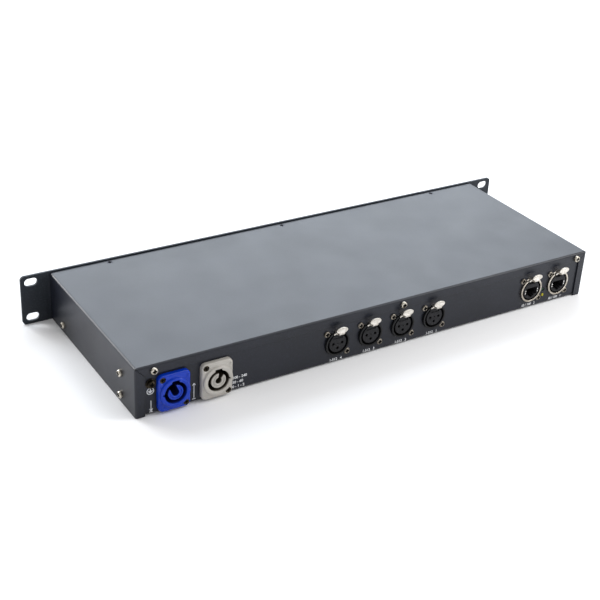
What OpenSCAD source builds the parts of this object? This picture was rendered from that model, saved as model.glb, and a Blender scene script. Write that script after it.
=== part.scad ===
// Lighting network node in a folded steel case, one rack unit high.
// X runs to the right as seen from the front, Y to the rear and Z up.
// The origin is the centre of the four rack slots, on the rear face of the rack panel.

/* [Rack panel] */
// Width of the rack panel over both ears
panel_w = 482.6; // [478:0.1:486]
// Height of the rack panel, one rack unit less its gap
panel_h = 44; // [43:0.1:46]
// Thickness of the rack panel
panel_t = 2; // [1.5:0.1:3]
// Corner radius of the ears
panel_corner = 3.5; // [1:0.1:6]
// Step from the ears' painted rear faces down to the bare seat of the case
seat_step = 0.1; // [0.05:0.05:0.3]
// Width of the bare seat beyond the case's sides
seat_margin = 3.5; // [3:0.5:5]
// Distance of the slot centres from the panel's ends
slot_edge = 8.75; // [7.8:0.05:9.8]
// Distance up the rack between slot centres
slot_pitch_z = 31.75; // [30:0.05:33]
// Length of a rack slot over its round ends
slot_len = 11; // [8:0.1:13]
// Width of a rack slot
slot_w = 7; // [5.5:0.1:8]
// Distance of the outer welded studs from the case's sides
stud_side = 16.5; // [12.5:0.5:26.5]
// Distance of the inner welded studs from the middle
stud_inner_x = 150; // [145:0.5:165]
// Height of the welded studs above and below the middle
stud_z = 12; // [9:0.5:13]

/* [Case] */
// Outer width of the cover
case_w = 433; // [420:0.5:445]
// Depth of the case behind the rack panel
case_d = 165.5; // [155:0.5:220]
// Drop from the panel's top edge to the cover
top_gap = 1.1; // [0.5:0.1:2]
// Rise from the panel's bottom edge to the cover's lower edge
bottom_gap = 0.5; // [0.2:0.1:1.5]
// Rise from the cover's lower edge to the tray's underside
tray_rise = 0.3; // [0:0.1:1]
// Sheet thickness of the cover and the tray
sheet = 1.2; // [1:0.1:1.5]
// Outer radius of the folds
bend_r = 1.8; // [1.6:0.1:2.5]
// Height of the cover's rear lip and width of its rear corner flanges
lip_h = 7.6; // [6:0.1:9]
// Width of the mitre seam between lip and corner flange
seam_w = 0.4; // [0.2:0.1:0.8]
// Gap between the cover and the tray inside it
cover_gap = 0.15; // [0.05:0.05:0.3]
// Depth of the tray's folded top edge behind the panel
fold_d = 12; // [9:0.5:16]

/* [Case screws] */
// Diameter of the case screws
screw_d = 3; // [2.5:0.1:3.5]
// Head diameter of the case screws
head_d = 5.8; // [5:0.1:6.2]
// Head height of the case screws
head_h = 2.4; // [1.8:0.1:2.8]
// Length of the case screws under the head
screw_len = 8; // [6:0.5:10]
// Distance of the outer top screws from the case's sides
top_screw_side = 51; // [26.5:0.5:76.5]
// Distance of the top screws behind the panel
top_screw_y = 4; // [3.5:0.1:7]
// Head diameter of the countersunk top screws
sunk_head_d = 5.2; // [4.5:0.1:5.4]
// Distance of the outer rear screw on the mains side from the case's side
lid_screw_side = 14.7; // [10.5:0.1:18.5]
// Distance of the outer rear screw on the network side from the case's side
lid_screw_far_side = 11.7; // [10.5:0.1:16.5]
// Place of the middle rear screw, from the middle
lid_screw_mid_x = -18.5; // [-24:0.5:-12]
// Drop of the rear screws below the cover's top
lid_screw_drop = 4.6; // [4:0.1:4.7]
// Distance of the rear pair of side screws from the rear face
side_screw_rear = 25.3; // [20:0.1:32]
// Distance of the front side screw behind the panel
side_screw_front = 27.2; // [20:0.1:34]
// Height of the upper side screw
side_screw_high = 4.2; // [0:0.1:8]
// Height of the lower rear side screw
side_screw_low = -14.5; // [-16:0.1:-10]
// Height of the front side screw
side_screw_front_z = -13.8; // [-16:0.1:-8]
// Clearance between a screw and the hole it passes
hole_gap = 0.15; // [0.05:0.05:0.3]

/* [Earth screw] */
// Diameter of the earth screw
earth_d = 4; // [3:0.5:5]
// Head diameter of the earth screw
earth_head_d = 6.4; // [6:0.1:7]
// Diameter of its washer
earth_washer_d = 7.8; // [7:0.1:8.2]
// Thickness of its washer
earth_washer_t = 0.8; // [0.5:0.1:1.2]
// Distance of the earth screw from the case's side
earth_side = 12.5; // [12.1:0.1:13.5]
// Height of the earth screw
earth_z = 5.3; // [2:0.1:8]

/* [Mains sockets] */
// Width of the flange
mains_w = 26; // [25:0.1:27]
// Height of the flange
mains_h = 31; // [30:0.1:31.4]
// Thickness of the flange
mains_t = 4.3; // [3:0.1:5.5]
// Corner radius of the flange
mains_corner = 4; // [2.5:0.1:5]
// Radius of the flange's front edge
mains_edge = 1.2; // [0.5:0.1:1.6]
// Diameter of the round collar on the flange
mains_ring_d = 24.4; // [22:0.1:24.8]
// Height of the collar above the flange
mains_ring_h = 2; // [1:0.1:2.6]
// Diameter of the plug's bore
mains_bore_d = 18; // [17:0.1:19]
// Depth of the bore below the panel face
mains_bore_depth = 14; // [10:0.5:16]
// Diameter of the keyed core in the bore
mains_core_d = 12.3; // [11.5:0.1:12.8]
// Diameter of the body behind the panel
mains_body_d = 23.4; // [22.6:0.1:23.8]
// Depth of the body behind the panel face
mains_depth = 26; // [20:0.5:30]
// Distance across between the flange screws
mains_screw_dx = 19; // [18.6:0.1:19.6]
// Distance up between the flange screws
mains_screw_dz = 24; // [23.6:0.1:24.6]
// Head diameter of the countersunk flange screws
mains_head_d = 5.4; // [4.8:0.1:5.6]
// Distance of the inlet from the case's side
inlet_side = 30.1; // [29.7:0.1:30.7]
// Distance of the outlet from the case's side
outlet_side = 65.4; // [62.5:0.1:68.5]
// Height of both mains sockets
mains_z = -4.6; // [-5:0.1:-3.6]
// Angle of the key slot in the core, from straight up
key_angle = 24; // [15:1:35]
// Width of the inlet's key slot
inlet_key_w = 5.6; // [5:0.1:6]
// Diameter of the outlet's centre hole
outlet_hole_d = 5.2; // [4.4:0.1:5.6]

/* [Signal sockets] */
// Place of the first data socket, the one nearest the mains side
data_x = 43; // [40:0.1:46]
// Spacing of the data sockets
data_pitch = 31.6; // [29:0.1:34]
// Distance of the outer network socket from the case's other side
network_side = 29.2; // [26.3:0.1:32.3]
// Spacing of the network sockets
network_pitch = 30.4; // [29.5:0.1:31.5]
// Height of the signal sockets
signal_z = -3.4; // [-3.8:0.1:-2.6]
// Width and height of the block behind the panel
block_w = 26; // [25:0.1:27]
// Depth of a data socket's block
data_block_d = 20; // [17:0.5:24]
// Depth of a network socket's block
network_block_d = 26; // [22:0.5:30]
// Distance of a socket screw from the socket's axis, across and up
socket_screw = 9.9; // [9.7:0.1:10.2]
// Head diameter of the socket screws
socket_head_d = 5.2; // [4.8:0.1:5.4]
// Outer diameter of a data socket's collar
collar_d = 21.8; // [21.6:0.1:22]
// Inner diameter of the collar, where the plug's shell goes
collar_bore_d = 19.2; // [19:0.1:19.4]
// Height of the collar above the panel face
collar_h = 2; // [1.4:0.1:2.6]
// Depth of the plug space below the panel face
plug_depth = 14; // [12:0.5:16]
// Diameter of the contact carrier
insert_d = 15.4; // [15:0.1:15.8]
// Radius on which the contacts stand
contact_r = 4.1; // [3.9:0.05:4.3]
// Width of the key step across the carrier's top
insert_step_w = 8.8; // [7:0.1:9.6]
// Height of the key step above the socket's axis
insert_step_z = 4.2; // [3.6:0.1:4.8]
// Depth of the key step
insert_step_d = 0.8; // [0.5:0.1:2]
// Diameter of a contact hole in the carrier's face
contact_hole_d = 2.5; // [2.2:0.1:2.7]
// Outer diameter of a network socket's ring
ring_d = 22.6; // [22.4:0.1:22.8]
// Wall of the ring
ring_wall = 1.4; // [1:0.1:1.6]
// Height of the ring above the panel face
ring_h = 1.8; // [1.4:0.1:2.4]
// Diameter of the jack body in the ring
jack_d = 16.8; // [16.2:0.1:17.2]
// Width of the jack's opening
jack_w = 11.8; // [11.6:0.1:12]
// Height of the jack's opening
jack_h = 6.8; // [6.6:0.1:7]
// Height of the opening's top edge above the socket's axis
jack_top = 2.2; // [2:0.1:2.4]
// Clearance of a collar or body in its panel hole, on the radius
panel_hole_gap = 0.3; // [0.2:0.05:0.4]

/* [Push latches] */
// Width of the oval push tab
tab_w = 10.4; // [9:0.1:11]
// Height of the oval push tab
tab_h = 5.5; // [4.8:0.1:6.8]
// Sheet thickness of the latch
tab_t = 1; // [0.8:0.1:1.2]
// Height of the tab's centre above the socket's axis
tab_rise = 14.4; // [14:0.1:14.8]
// Distance of the tab's face from the panel face
tab_reach = 7.1; // [6.6:0.1:8]
// Travel of the latch when it is pushed
latch_travel = 2; // [1:0.1:2.2]
// Width of the stem
stem_w = 5; // [4:0.1:5.6]
// Clearance round the stem and the shoulder
latch_gap = 0.3; // [0.15:0.05:0.35]

/* [Front panel layout] */
// Place of the display window's centre
window_x = -52; // [-60:0.5:-45]
// Width of the display window
window_w = 66; // [60:0.5:70]
// Height of the display window
window_h = 20; // [17:0.5:22]
// Distance from the window's centre to the first menu button
button_start = 56; // [52:0.5:60]
// Spacing of the menu buttons
button_pitch = 18; // [16:0.5:19]
// Diameter of a menu button
button_d = 8; // [7:0.1:9]
// Height of a menu button above the panel
button_proud = 1.6; // [1.2:0.1:2.5]
// Travel of a menu button
button_travel = 0.8; // [0.4:0.1:1]
// Clearance round a menu button
button_gap = 0.25; // [0.15:0.05:0.4]
// Distance from the window's centre to the first indicator lamp
lamp_start = 134; // [132:0.5:140]
// Spacing of the front indicator lamps
lamp_pitch = 9; // [8:0.5:10]
// Diameter of an indicator lamp
lamp_d = 3; // [2.8:0.1:3.2]

/* [Circuit boards] */
// Thickness of the circuit boards
board_t = 1.6; // [1.2:0.1:2]
// Depth of the main board
main_board_d = 96; // [80:1:100]
// Width of the power supply board
psu_board_w = 122; // [110:1:126]
// Depth of the power supply board
psu_board_d = 92; // [85:1:96]
// Height of the power supply board's spacers
psu_spacer_h = 6; // [4:0.5:7]
// Distance from the tray's front wall to the front board
front_board_gap = 7; // [6:0.1:8]

/* [Hidden] */
$fn = 48;
eps = 0.02;

// Case levels and faces
case_top = panel_h / 2 - top_gap;
case_low = -panel_h / 2 + bottom_gap;
tray_low = case_low + tray_rise;
tray_top = case_top - sheet - cover_gap;
tray_half = case_w / 2 - sheet - cover_gap;
wall_top = tray_top - (bend_r - sheet);
floor_top = tray_low + sheet;
rear_face = case_d - sheet;
rear_inner = rear_face - sheet;
lid_screw_z = case_top - lid_screw_drop;
case_start = 0.3;
seat_y = -seat_step;
wall_in = seat_y + sheet;

// Places kept from the case's sides and the panel's ends
slot_pitch_x = panel_w - 2 * slot_edge;
stud_outer_x = case_w / 2 - stud_side;
top_screw_x = case_w / 2 - top_screw_side;
lid_screw_x = [lid_screw_far_side - case_w / 2, case_w / 2 - lid_screw_side];
earth_x = case_w / 2 - earth_side;
inlet_x = case_w / 2 - inlet_side;
outlet_x = case_w / 2 - outlet_side;
network_x = network_side + network_pitch - case_w / 2;

// Places that repeat
top_screw_places = [-top_screw_x, 0, top_screw_x];
lid_screw_places = [lid_screw_x[0], lid_screw_mid_x, lid_screw_x[1]];
side_screw_places = [
    [case_d - side_screw_rear, side_screw_high],
    [case_d - side_screw_rear, side_screw_low],
    [side_screw_front, side_screw_front_z]
];
stud_places = [
    for (x = [-stud_outer_x, -stud_inner_x, stud_inner_x, stud_outer_x], z = [-stud_z, stud_z]) [x, z]
];
data_places = [for (i = [0:3]) data_x - (3 - i) * data_pitch];
network_places = [network_x - network_pitch, network_x];
lamp_x = network_x - network_pitch / 2;
link_lamp_z = signal_z - 3.6;
activity_lamp_z = signal_z - 9.1;
button_places = [for (i = [0:3]) window_x + button_start + i * button_pitch];
front_lamp_places = [for (i = [0:5]) window_x + lamp_start + i * lamp_pitch];

// Fit between sockets, boards and screws
thread_gap = 0.05;
block_low = signal_z - block_w / 2;
main_board_top = block_low;
main_board_low = main_board_top - board_t;
psu_board_low = floor_top + psu_spacer_h;
main_board_x0 = network_places[0] - block_w / 2 - 3;
main_board_x1 = data_x + block_w / 2 + 4;
main_board_y1 = rear_inner - 1;
main_board_y0 = main_board_y1 - main_board_d;
psu_x0 = inlet_x + 16 - psu_board_w;
psu_y0 = 24;
main_hole_places = [
    for (x = [main_board_x0 + 6, (main_board_x0 + main_board_x1) / 2, main_board_x1 - 6],
         y = [main_board_y0 + 6, main_board_y0 + 52]) [x, y]
];
psu_hole_places = [for (x = [5, psu_board_w - 5], y = [5, psu_board_d - 5]) [psu_x0 + x, psu_y0 + y]];
contact_angles = [0, 180, 270];
contact_d = 3.1;
tail_d = 0.9;
tail_y = -(sheet + data_block_d + 3.5);
front_board_y = wall_in + front_board_gap;
front_hole_x = [window_x - window_w / 2 - 5, front_lamp_places[5] + 7];
front_hole_z = [-9, 9];
front_board_h = 28;
switch_h = 3.5;
switch_w = 6;
plunger_d = 3;
plunger_depth = 0.8;
nut_w = 5.5;
nut_t = 2.4;
earth_nut_w = 7;
earth_nut_t = 3.2;

// Inside the mains sockets
blade_angles = [0, 120, 240];
blade_r = (mains_core_d + mains_bore_d) / 4;
blade_w = 4;
blade_t = 0.8;
blade_tab = 8;
notch_w = 6;
notch_depth = 1.2;
side_notch_w = 1.6;

// Inside the signal sockets
shoulder_angle = 27;
shoulder_t = 0.8;
insert_base_d = 17;
jack_depth = 12;
finger_x = jack_w / 2 + 0.85;
finger_w = 0.8;
finger_h = 1.3;
finger_z = [-2.1, -0.1];
wire_pitch = 1.02;
wire_w = 0.45;
wire_way = wire_w + 2 * thread_gap;
finger_depth = 6;

// Chips, from the main board's front edge and middle
processor_size = [20, 20, 1.6];
processor_at = [-34, 30];
memory_size = [10, 14, 1.2];
memory_at = [8, 34];
transceiver_size = [14, 14, 5.5];
driver_size = [7, 10, 3.2];
chip_row = 36;

// Power supply parts and leads
psu_top = psu_board_low + board_t;
transformer_at = [48, 34];
flat_cap_x = [14, 28];
flat_cap_y = 20;
tall_cap_x = [94, 106];
tall_cap_y = 34;
sink_at = [46, 70];
core_size = [30, 26, 21];
core_wall = [5, 4];
bobbin_bulge = 3.5;
flat_cap = [12, 25];
tall_cap = [10, 18];
sink_size = [40, 10, 20];
sink_back = 3;
fin_t = 1.5;
fuse_d = 5.2;
fuse_len = 20;
fuse_at = [psu_x0 + 92, psu_y0 + 74, psu_top + 4.5];
lead_d = 1.6;
lead_side = 1.3;
sleeve_size = [6, 7, 2.8];
tab_end = rear_face - mains_depth - blade_tab;
ribbon_w = 12;
ribbon_t = 0.8;

// Extrudes an outline drawn in X and Z from y = 0 to y = t
module along_y(t) {
    translate([0, t, 0])
        rotate([90, 0, 0])
            linear_extrude(t) children();
}

// Extrudes an outline drawn in X and Z over a span of Y
module span_y(y0, y1) {
    translate([0, y0, 0]) along_y(y1 - y0) children();
}

// A round bar along Y over a span
module bar_y(d, y0, y1) {
    translate([0, y1, 0])
        rotate([90, 0, 0]) cylinder(d = d, h = y1 - y0);
}

// A rectangle with round corners, exact arcs
module rounded(w, h, r) {
    square([w - 2 * r, h], center = true);
    square([w, h - 2 * r], center = true);
    for (x = [-1, 1], z = [-1, 1]) translate([x * (w / 2 - r), z * (h / 2 - r)]) circle(r);
}

// A slot outline with round ends
module slot_outline(l, w) {
    square([l - w, w], center = true);
    for (x = [-1, 1]) translate([x * (l - w) / 2, 0]) circle(d = w);
}

// An oval outline
module oval(w, h, points = 40) {
    polygon([for (i = [0:points - 1]) [w / 2 * cos(360 * i / points), h / 2 * sin(360 * i / points)]]);
}

// A wedge between two angles, measured from straight up
module wedge(r, a0, a1) {
    polygon([[0, 0], for (i = [0:8]) let (a = a0 + (a1 - a0) * i / 8) [r * sin(a), r * cos(a)]]);
}

// Places children on the rear panel's outer face
module on_rear(x, z) {
    translate([x, rear_face, z]) children();
}

// Turns children that point along +Y towards +X, -X or +Z
module toward(dir) {
    rotate(dir == "right" ? [0, 0, -90] : dir == "left" ? [0, 0, 90] : [90, 0, 0]) children();
}

// A cross recess, cut into a head whose top is at y = top
module cross_recess(top, size) {
    for (a = [45, 135])
        translate([0, top - 1.1, 0]) rotate([0, a, 0])
            translate([-size / 2, 0, -0.4]) cube([size, 2, 0.8]);
}

// A pan-head screw with its head's seat at y = 0 and its shank towards -Y
module pan_screw(d, hd, hh, length) {
    difference() {
        union() {
            rotate([-90, 0, 0]) rotate_extrude()
                union() {
                    square([hd / 2 - hh * 0.6, hh]);
                    square([hd / 2, hh * 0.4]);
                    translate([hd / 2 - hh * 0.6, hh * 0.4])
                        intersection() {
                            circle(hh * 0.6);
                            square(hh);
                        }
                }
            bar_y(d, -length, eps);
        }
        cross_recess(hh, hd * 0.55);
    }
}

// A countersunk screw with its head's top at y = 0 and its shank towards -Y
module sunk_screw(d, hd, length) {
    difference() {
        union() {
            rotate([90, 0, 0]) cylinder(d1 = hd, d2 = d, h = (hd - d) / 2);
            bar_y(d, -length, -(hd - d) / 2 + eps);
        }
        cross_recess(0.2, hd * 0.5);
    }
}

// The space of a countersunk head and shank, with clearance
module sunk_hole(d, hd, length) {
    cone_d = [hd + 2 * thread_gap, d + 2 * thread_gap];
    rotate([90, 0, 0])
        translate([0, 0, -eps]) cylinder(d1 = cone_d[0], d2 = cone_d[1], h = (hd - d) / 2 + eps);
    bar_y(d + 2 * hole_gap, -length, 1);
}

// A hexagon nut on a screw along Y, lying between y = -t and y = 0
module nut(d, w, t) {
    difference() {
        rotate([90, 0, 0]) cylinder(d = w / cos(30), h = t, $fn = 6);
        bar_y(d + 2 * thread_gap, -t - 1, 1);
    }
}

// A rectangle from lo to hi with some corners round, counted anticlockwise from the upper right
module fold_outline(lo, hi, r, corners) {
    function centre(c) = [c == 0 || c == 3 ? hi[0] - r : lo[0] + r, c < 2 ? hi[1] - r : lo[1] + r];
    difference() {
        translate(lo) square(hi - lo);
        for (c = corners) translate(centre(c)) rotate(90 * c) square(r + 1);
    }
    for (c = corners) translate(centre(c)) circle(r);
}

// A box with round folds, given as the round corners seen from the front, from above and from the side
module folded_block(half_w, y0, y1, z0, z1, r, front, plan, side) {
    intersection() {
        span_y(y0, y1) fold_outline([-half_w, z0], [half_w, z1], r, front);
        translate([0, 0, z0]) linear_extrude(z1 - z0) fold_outline([-half_w, y0], [half_w, y1], r, plan);
        translate([-half_w, 0, 0]) rotate([90, 0, 90]) linear_extrude(2 * half_w)
            fold_outline([y0, z0], [y1, z1], r, side);
    }
}

// Rack panel with two slots in each ear, window, button and lamp openings, and welded studs
module front_panel() {
    seat_half = case_w / 2 + seat_margin;
    color("#26282c")
        union() {
            difference() {
                span_y(-panel_t, 0)
                    difference() {
                        rounded(panel_w, panel_h, panel_corner);
                        for (x = [-1, 1], z = [-1, 1])
                            translate([x * slot_pitch_x / 2, z * slot_pitch_z / 2])
                                slot_outline(slot_len, slot_w);
                        translate([window_x, 0]) rounded(window_w + 0.4, window_h + 0.4, 1.7);
                        for (x = button_places) translate([x, 0]) circle(d = button_d + 2 * button_gap);
                        for (x = front_lamp_places) translate([x, 0]) circle(d = lamp_d + 2 * hole_gap);
                    }
                translate([-seat_half, seat_y, -panel_h]) cube([2 * seat_half, 1, 2 * panel_h]);
            }
            for (p = stud_places) translate([p[0], 0, p[1]]) bar_y(screw_d, seat_y - eps, sheet + nut_t + 1);
        }
}

// Folded tray: floor, rear panel, front wall with a top fold, and inner side walls
module base_tray() {
    color("#3d4046")
        difference() {
            union() {
                difference() {
                    folded_block(tray_half, seat_y, rear_face, tray_low, wall_top, bend_r,
                                 [2, 3], [0, 1], [2, 3]);
                    folded_block(tray_half - sheet, wall_in, rear_inner, floor_top, wall_top + 1,
                                 bend_r - sheet, [2, 3], [0, 1], [2, 3]);
                    translate([-case_w / 2, -1, tray_top - bend_r]) cube([case_w, wall_in + 1, panel_h]);
                }
                tray_front_fold();
            }
            tray_corner_seams();
            tray_front_openings();
            tray_rear_openings();
            for (x = top_screw_places)
                translate([x, top_screw_y, tray_top - sheet - 1])
                    cylinder(d = screw_d + 2 * thread_gap, h = sheet + 2);
            for (p = side_screw_places)
                translate([-case_w, p[0], p[1]]) rotate([0, 90, 0])
                    cylinder(d = screw_d + 2 * thread_gap, h = 2 * case_w);
        }
}

// The fold at the top of the tray's front wall, which takes the top screws
module tray_front_fold() {
    half_w = tray_half - 2 * sheet;
    low = tray_top - 3 * bend_r;
    difference() {
        folded_block(half_w, seat_y, fold_d, low, tray_top, bend_r, [], [], [1]);
        folded_block(half_w + 1, wall_in, fold_d + 1, low - 1, tray_top - sheet, bend_r - sheet,
                     [], [], [1]);
    }
}

// The open seams where the tray's front and rear walls meet its side walls
module tray_corner_seams() {
    seam_x = tray_half - sheet - seam_w;
    for (x = [seam_x, -seam_x - seam_w], y = [-1, rear_inner - 1])
        translate([x, y, floor_top]) cube([seam_w, sheet + 2, panel_h]);
}

// Openings in the tray's front wall
module tray_front_openings() {
    span_y(-1, sheet + 1) {
        translate([window_x, 0]) rounded(window_w - 4, window_h - 4, 1);
        for (x = button_places) translate([x, 0]) circle(d = button_d + 2 * button_gap);
        for (x = front_lamp_places) translate([x, 0]) circle(d = lamp_d + 2 * hole_gap);
        for (p = stud_places) translate(p) circle(d = screw_d + 2 * hole_gap);
    }
}

// Openings in the rear panel
module tray_rear_openings() {
    span_y(rear_inner - 1, rear_face + 1) {
        for (x = [inlet_x, outlet_x]) translate([x, mains_z]) {
            circle(d = mains_body_d + 2 * panel_hole_gap);
            for (s = [-1, 1]) translate([s * mains_screw_dx / 2, s * mains_screw_dz / 2])
                circle(d = screw_d + 2 * hole_gap);
        }
        for (x = data_places) translate([x, signal_z]) circle(d = collar_d + 2 * panel_hole_gap);
        for (x = network_places) translate([x, signal_z]) circle(d = ring_d + 2 * panel_hole_gap);
        for (x = concat(data_places, network_places), s = [-1, 1])
            translate([x + s * socket_screw, signal_z + s * socket_screw]) circle(d = screw_d + 2 * hole_gap);
        for (z = [link_lamp_z, activity_lamp_z]) translate([lamp_x, z]) circle(d = lamp_d + 2 * hole_gap);
        for (x = lid_screw_places) translate([x, lid_screw_z]) circle(d = screw_d + 2 * thread_gap);
        translate([earth_x, earth_z]) circle(d = earth_d + 2 * hole_gap);
    }
}

// Folded cover: top, full-height sides, rear lip and rear corner flanges with mitre seams
module top_cover() {
    color("#4a4d55")
        difference() {
            folded_block(case_w / 2, case_start, case_d, case_low, case_top, bend_r, [0, 1], [0, 1], [0]);
            folded_block(case_w / 2 - sheet, case_start - 1, rear_face, case_low - 1, case_top - sheet,
                         bend_r - sheet, [0, 1], [0, 1], [0]);
            translate([-case_w / 2 + lip_h, rear_face - 1, case_low - 1])
                cube([case_w - 2 * lip_h, sheet + 2, case_top - lip_h - case_low + 1]);
            for (s = [-1, 1])
                translate([s * (case_w / 2 - lip_h), case_d - bend_r, case_top - lip_h])
                    rotate([0, -s * 45, 0])
                        translate([s > 0 ? -seam_w / 2 : -2 * lip_h, 0, -seam_w / 2])
                            cube([2 * lip_h + seam_w / 2, bend_r + 1, seam_w]);
            for (x = top_screw_places)
                translate([x, top_screw_y, case_top]) toward("up") sunk_hole(screw_d, sunk_head_d, 3);
            for (x = lid_screw_places)
                translate([x, 0, lid_screw_z]) bar_y(screw_d + 2 * hole_gap, rear_face - 1, case_d + 1);
            for (p = side_screw_places)
                translate([-case_w, p[0], p[1]]) rotate([0, 90, 0])
                    cylinder(d = screw_d + 2 * hole_gap, h = 2 * case_w);
        }
}

// Nuts on the rack panel's studs, behind the tray's front wall
module panel_nuts() {
    color("#c9c7bd")
        for (p = stud_places) translate([p[0], wall_in + nut_t, p[1]]) nut(screw_d, nut_w, nut_t);
}

// Countersunk screws in the cover's top
module top_screws() {
    color("#c9c7bd")
        for (x = top_screw_places)
            translate([x, top_screw_y, case_top]) toward("up")
                sunk_screw(screw_d, sunk_head_d, screw_len - 2);
}

// Pan-head screws through the rear lip
module lid_screws() {
    color("#c9c7bd")
        for (x = lid_screw_places)
            translate([x, case_d, lid_screw_z]) pan_screw(screw_d, head_d, head_h, screw_len);
}

// Pan-head screws in both sides
module side_screws() {
    color("#c9c7bd")
        for (p = side_screw_places) {
            translate([case_w / 2, p[0], p[1]]) toward("right") pan_screw(screw_d, head_d, head_h, screw_len);
            translate([-case_w / 2, p[0], p[1]]) toward("left") pan_screw(screw_d, head_d, head_h, screw_len);
        }
}

// Earth screw, its toothed washer and its nut
module earth_screw() {
    color("#b9b6a8")
        on_rear(earth_x, earth_z) translate([0, earth_washer_t, 0])
            pan_screw(earth_d, earth_head_d, head_h, 10);
}

module earth_washer() {
    color("#b9b6a8")
        on_rear(earth_x, earth_z) along_y(earth_washer_t)
            difference() {
                circle(d = earth_washer_d);
                circle(d = earth_d + 2 * thread_gap);
                for (a = [0:30:330])
                    rotate(a) translate([earth_washer_d / 2, 0]) square([1.2, 0.5], center = true);
            }
}

module earth_nut() {
    color("#b9b6a8") translate([earth_x, rear_inner, earth_z]) nut(earth_d, earth_nut_w, earth_nut_t);
}

// A plate whose front edge, towards +Y, is rounded
module soft_plate(w, h, t, corner, edge) {
    along_y(t - edge) rounded(w, h, corner);
    along_y(t) rounded(w - 2 * edge, h - 2 * edge, corner - edge);
    for (s = [-1, 1]) {
        translate([-(w / 2 - corner), t - edge, s * (h / 2 - edge)]) rotate([0, 90, 0])
            cylinder(r = edge, h = w - 2 * corner);
        translate([s * (w / 2 - edge), t - edge, -(h / 2 - corner)]) cylinder(r = edge, h = h - 2 * corner);
    }
    for (x = [-1, 1], z = [-1, 1])
        translate([x * (w / 2 - corner), t - edge, z * (h / 2 - corner)]) rotate([90, 0, 0])
            rotate_extrude() translate([corner - edge, 0]) circle(edge);
}

// The bore of a mains socket: round, with a wide key notch at the top and a small one at one side
module mains_bore(side) {
    circle(d = mains_bore_d);
    reach = mains_bore_d / 2 + notch_depth;
    translate([-notch_w / 2, 0]) square([notch_w, reach]);
    translate([side > 0 ? 0 : -reach, -side_notch_w / 2]) square([reach, side_notch_w]);
}

// Blade slots of a mains socket: one behind the top notch and two beside the core
module blade_outlines(gap) {
    for (a = blade_angles) rotate(-a) translate([0, blade_r])
        square([blade_w + 2 * gap, blade_t + 2 * gap], center = true);
}

// A locking mains socket body at the origin, on the panel face; side turns the keys
module mains_body(side) {
    front = mains_t + mains_ring_h;
    difference() {
        union() {
            soft_plate(mains_w, mains_h, mains_t, mains_corner, mains_edge);
            bar_y(mains_body_d, -mains_depth, eps);
            rotate([-90, 0, 0]) rotate_extrude() {
                square([mains_ring_d / 2 - 0.6, front]);
                square([mains_ring_d / 2, front - 0.6]);
                translate([mains_ring_d / 2 - 0.6, front - 0.6]) circle(0.6);
            }
        }
        difference() {
            span_y(-mains_bore_depth, front + 1) mains_bore(side);
            span_y(-mains_bore_depth - 1, front - 0.4)
                difference() {
                    circle(d = mains_core_d);
                    rotate(-side * key_angle)
                        if (side > 0) {
                            circle(d = inlet_key_w);
                            translate([-inlet_key_w / 2, 0]) square([inlet_key_w, mains_core_d]);
                        } else {
                            hole_r = outlet_hole_d / 2;
                            rim = mains_core_d / 2 + 1;
                            circle(hole_r);
                            polygon([[-0.8, 0], [0.8, 0], [hole_r, rim], [-hole_r, rim]]);
                        }
                }
        }
        span_y(-mains_depth - 1, -mains_bore_depth + 1) blade_outlines(thread_gap);
        for (s = [-1, 1]) translate([s * mains_screw_dx / 2, mains_t, s * mains_screw_dz / 2])
            sunk_hole(screw_d, mains_head_d, mains_t + 1);
        translate([-mains_screw_dx / 2, 0, mains_screw_dz / 2]) bar_y(3.6, mains_t - 0.4, mains_t + 1);
    }
}

module mains_inlet() {
    color("#2448c8") on_rear(inlet_x, mains_z) mains_body(1);
}

module mains_outlet() {
    color("#c4c0b8") on_rear(outlet_x, mains_z) mains_body(-1);
}

// Contact blades of both mains sockets, with their tabs behind the bodies
module mains_contacts() {
    color("#c8a24a")
        for (x = [inlet_x, outlet_x]) on_rear(x, mains_z)
            for (i = [0:2]) rotate([0, blade_angles[i], 0])
                translate([-blade_w / 2, -mains_depth - blade_tab, blade_r - blade_t / 2])
                    cube([blade_w, mains_depth + blade_tab - (i == 0 ? 1 : 6), blade_t]);
}

// Countersunk screws of both mains flanges, and their nuts behind the rear panel
module mains_screws() {
    color("#8f8c80")
        for (x = [inlet_x, outlet_x], s = [-1, 1])
            on_rear(x + s * mains_screw_dx / 2, mains_z + s * mains_screw_dz / 2)
                translate([0, mains_t, 0]) sunk_screw(screw_d, mains_head_d, mains_t + sheet + nut_t + 1);
}

module mains_nuts() {
    color("#8f8c80")
        for (x = [inlet_x, outlet_x], s = [-1, 1])
            translate([x + s * mains_screw_dx / 2, rear_inner, mains_z + s * mains_screw_dz / 2])
                nut(screw_d, nut_w, nut_t);
}

// Threaded holes of a signal socket's block
module block_screw_holes() {
    for (s = [-1, 1]) translate([s * socket_screw, 0, s * socket_screw])
        bar_y(screw_d + 2 * thread_gap, -sheet - screw_len, 1);
}

// The way of a latch through a socket: stem slot and shoulder recess
module latch_way(bore_r, outer_r, depth) {
    translate([-stem_w / 2 - latch_gap, -depth, bore_r - 2])
        cube([stem_w + 2 * latch_gap, depth + 10, 2 + tab_t + 2 * latch_gap + 0.1]);
    span_y(collar_h - latch_travel - latch_gap, collar_h + 5)
        difference() {
            intersection() {
                circle(outer_r + 1);
                wedge(outer_r + 4, -shoulder_angle - 3, shoulder_angle + 3);
            }
            circle(bore_r - 0.5);
        }
}

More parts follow.
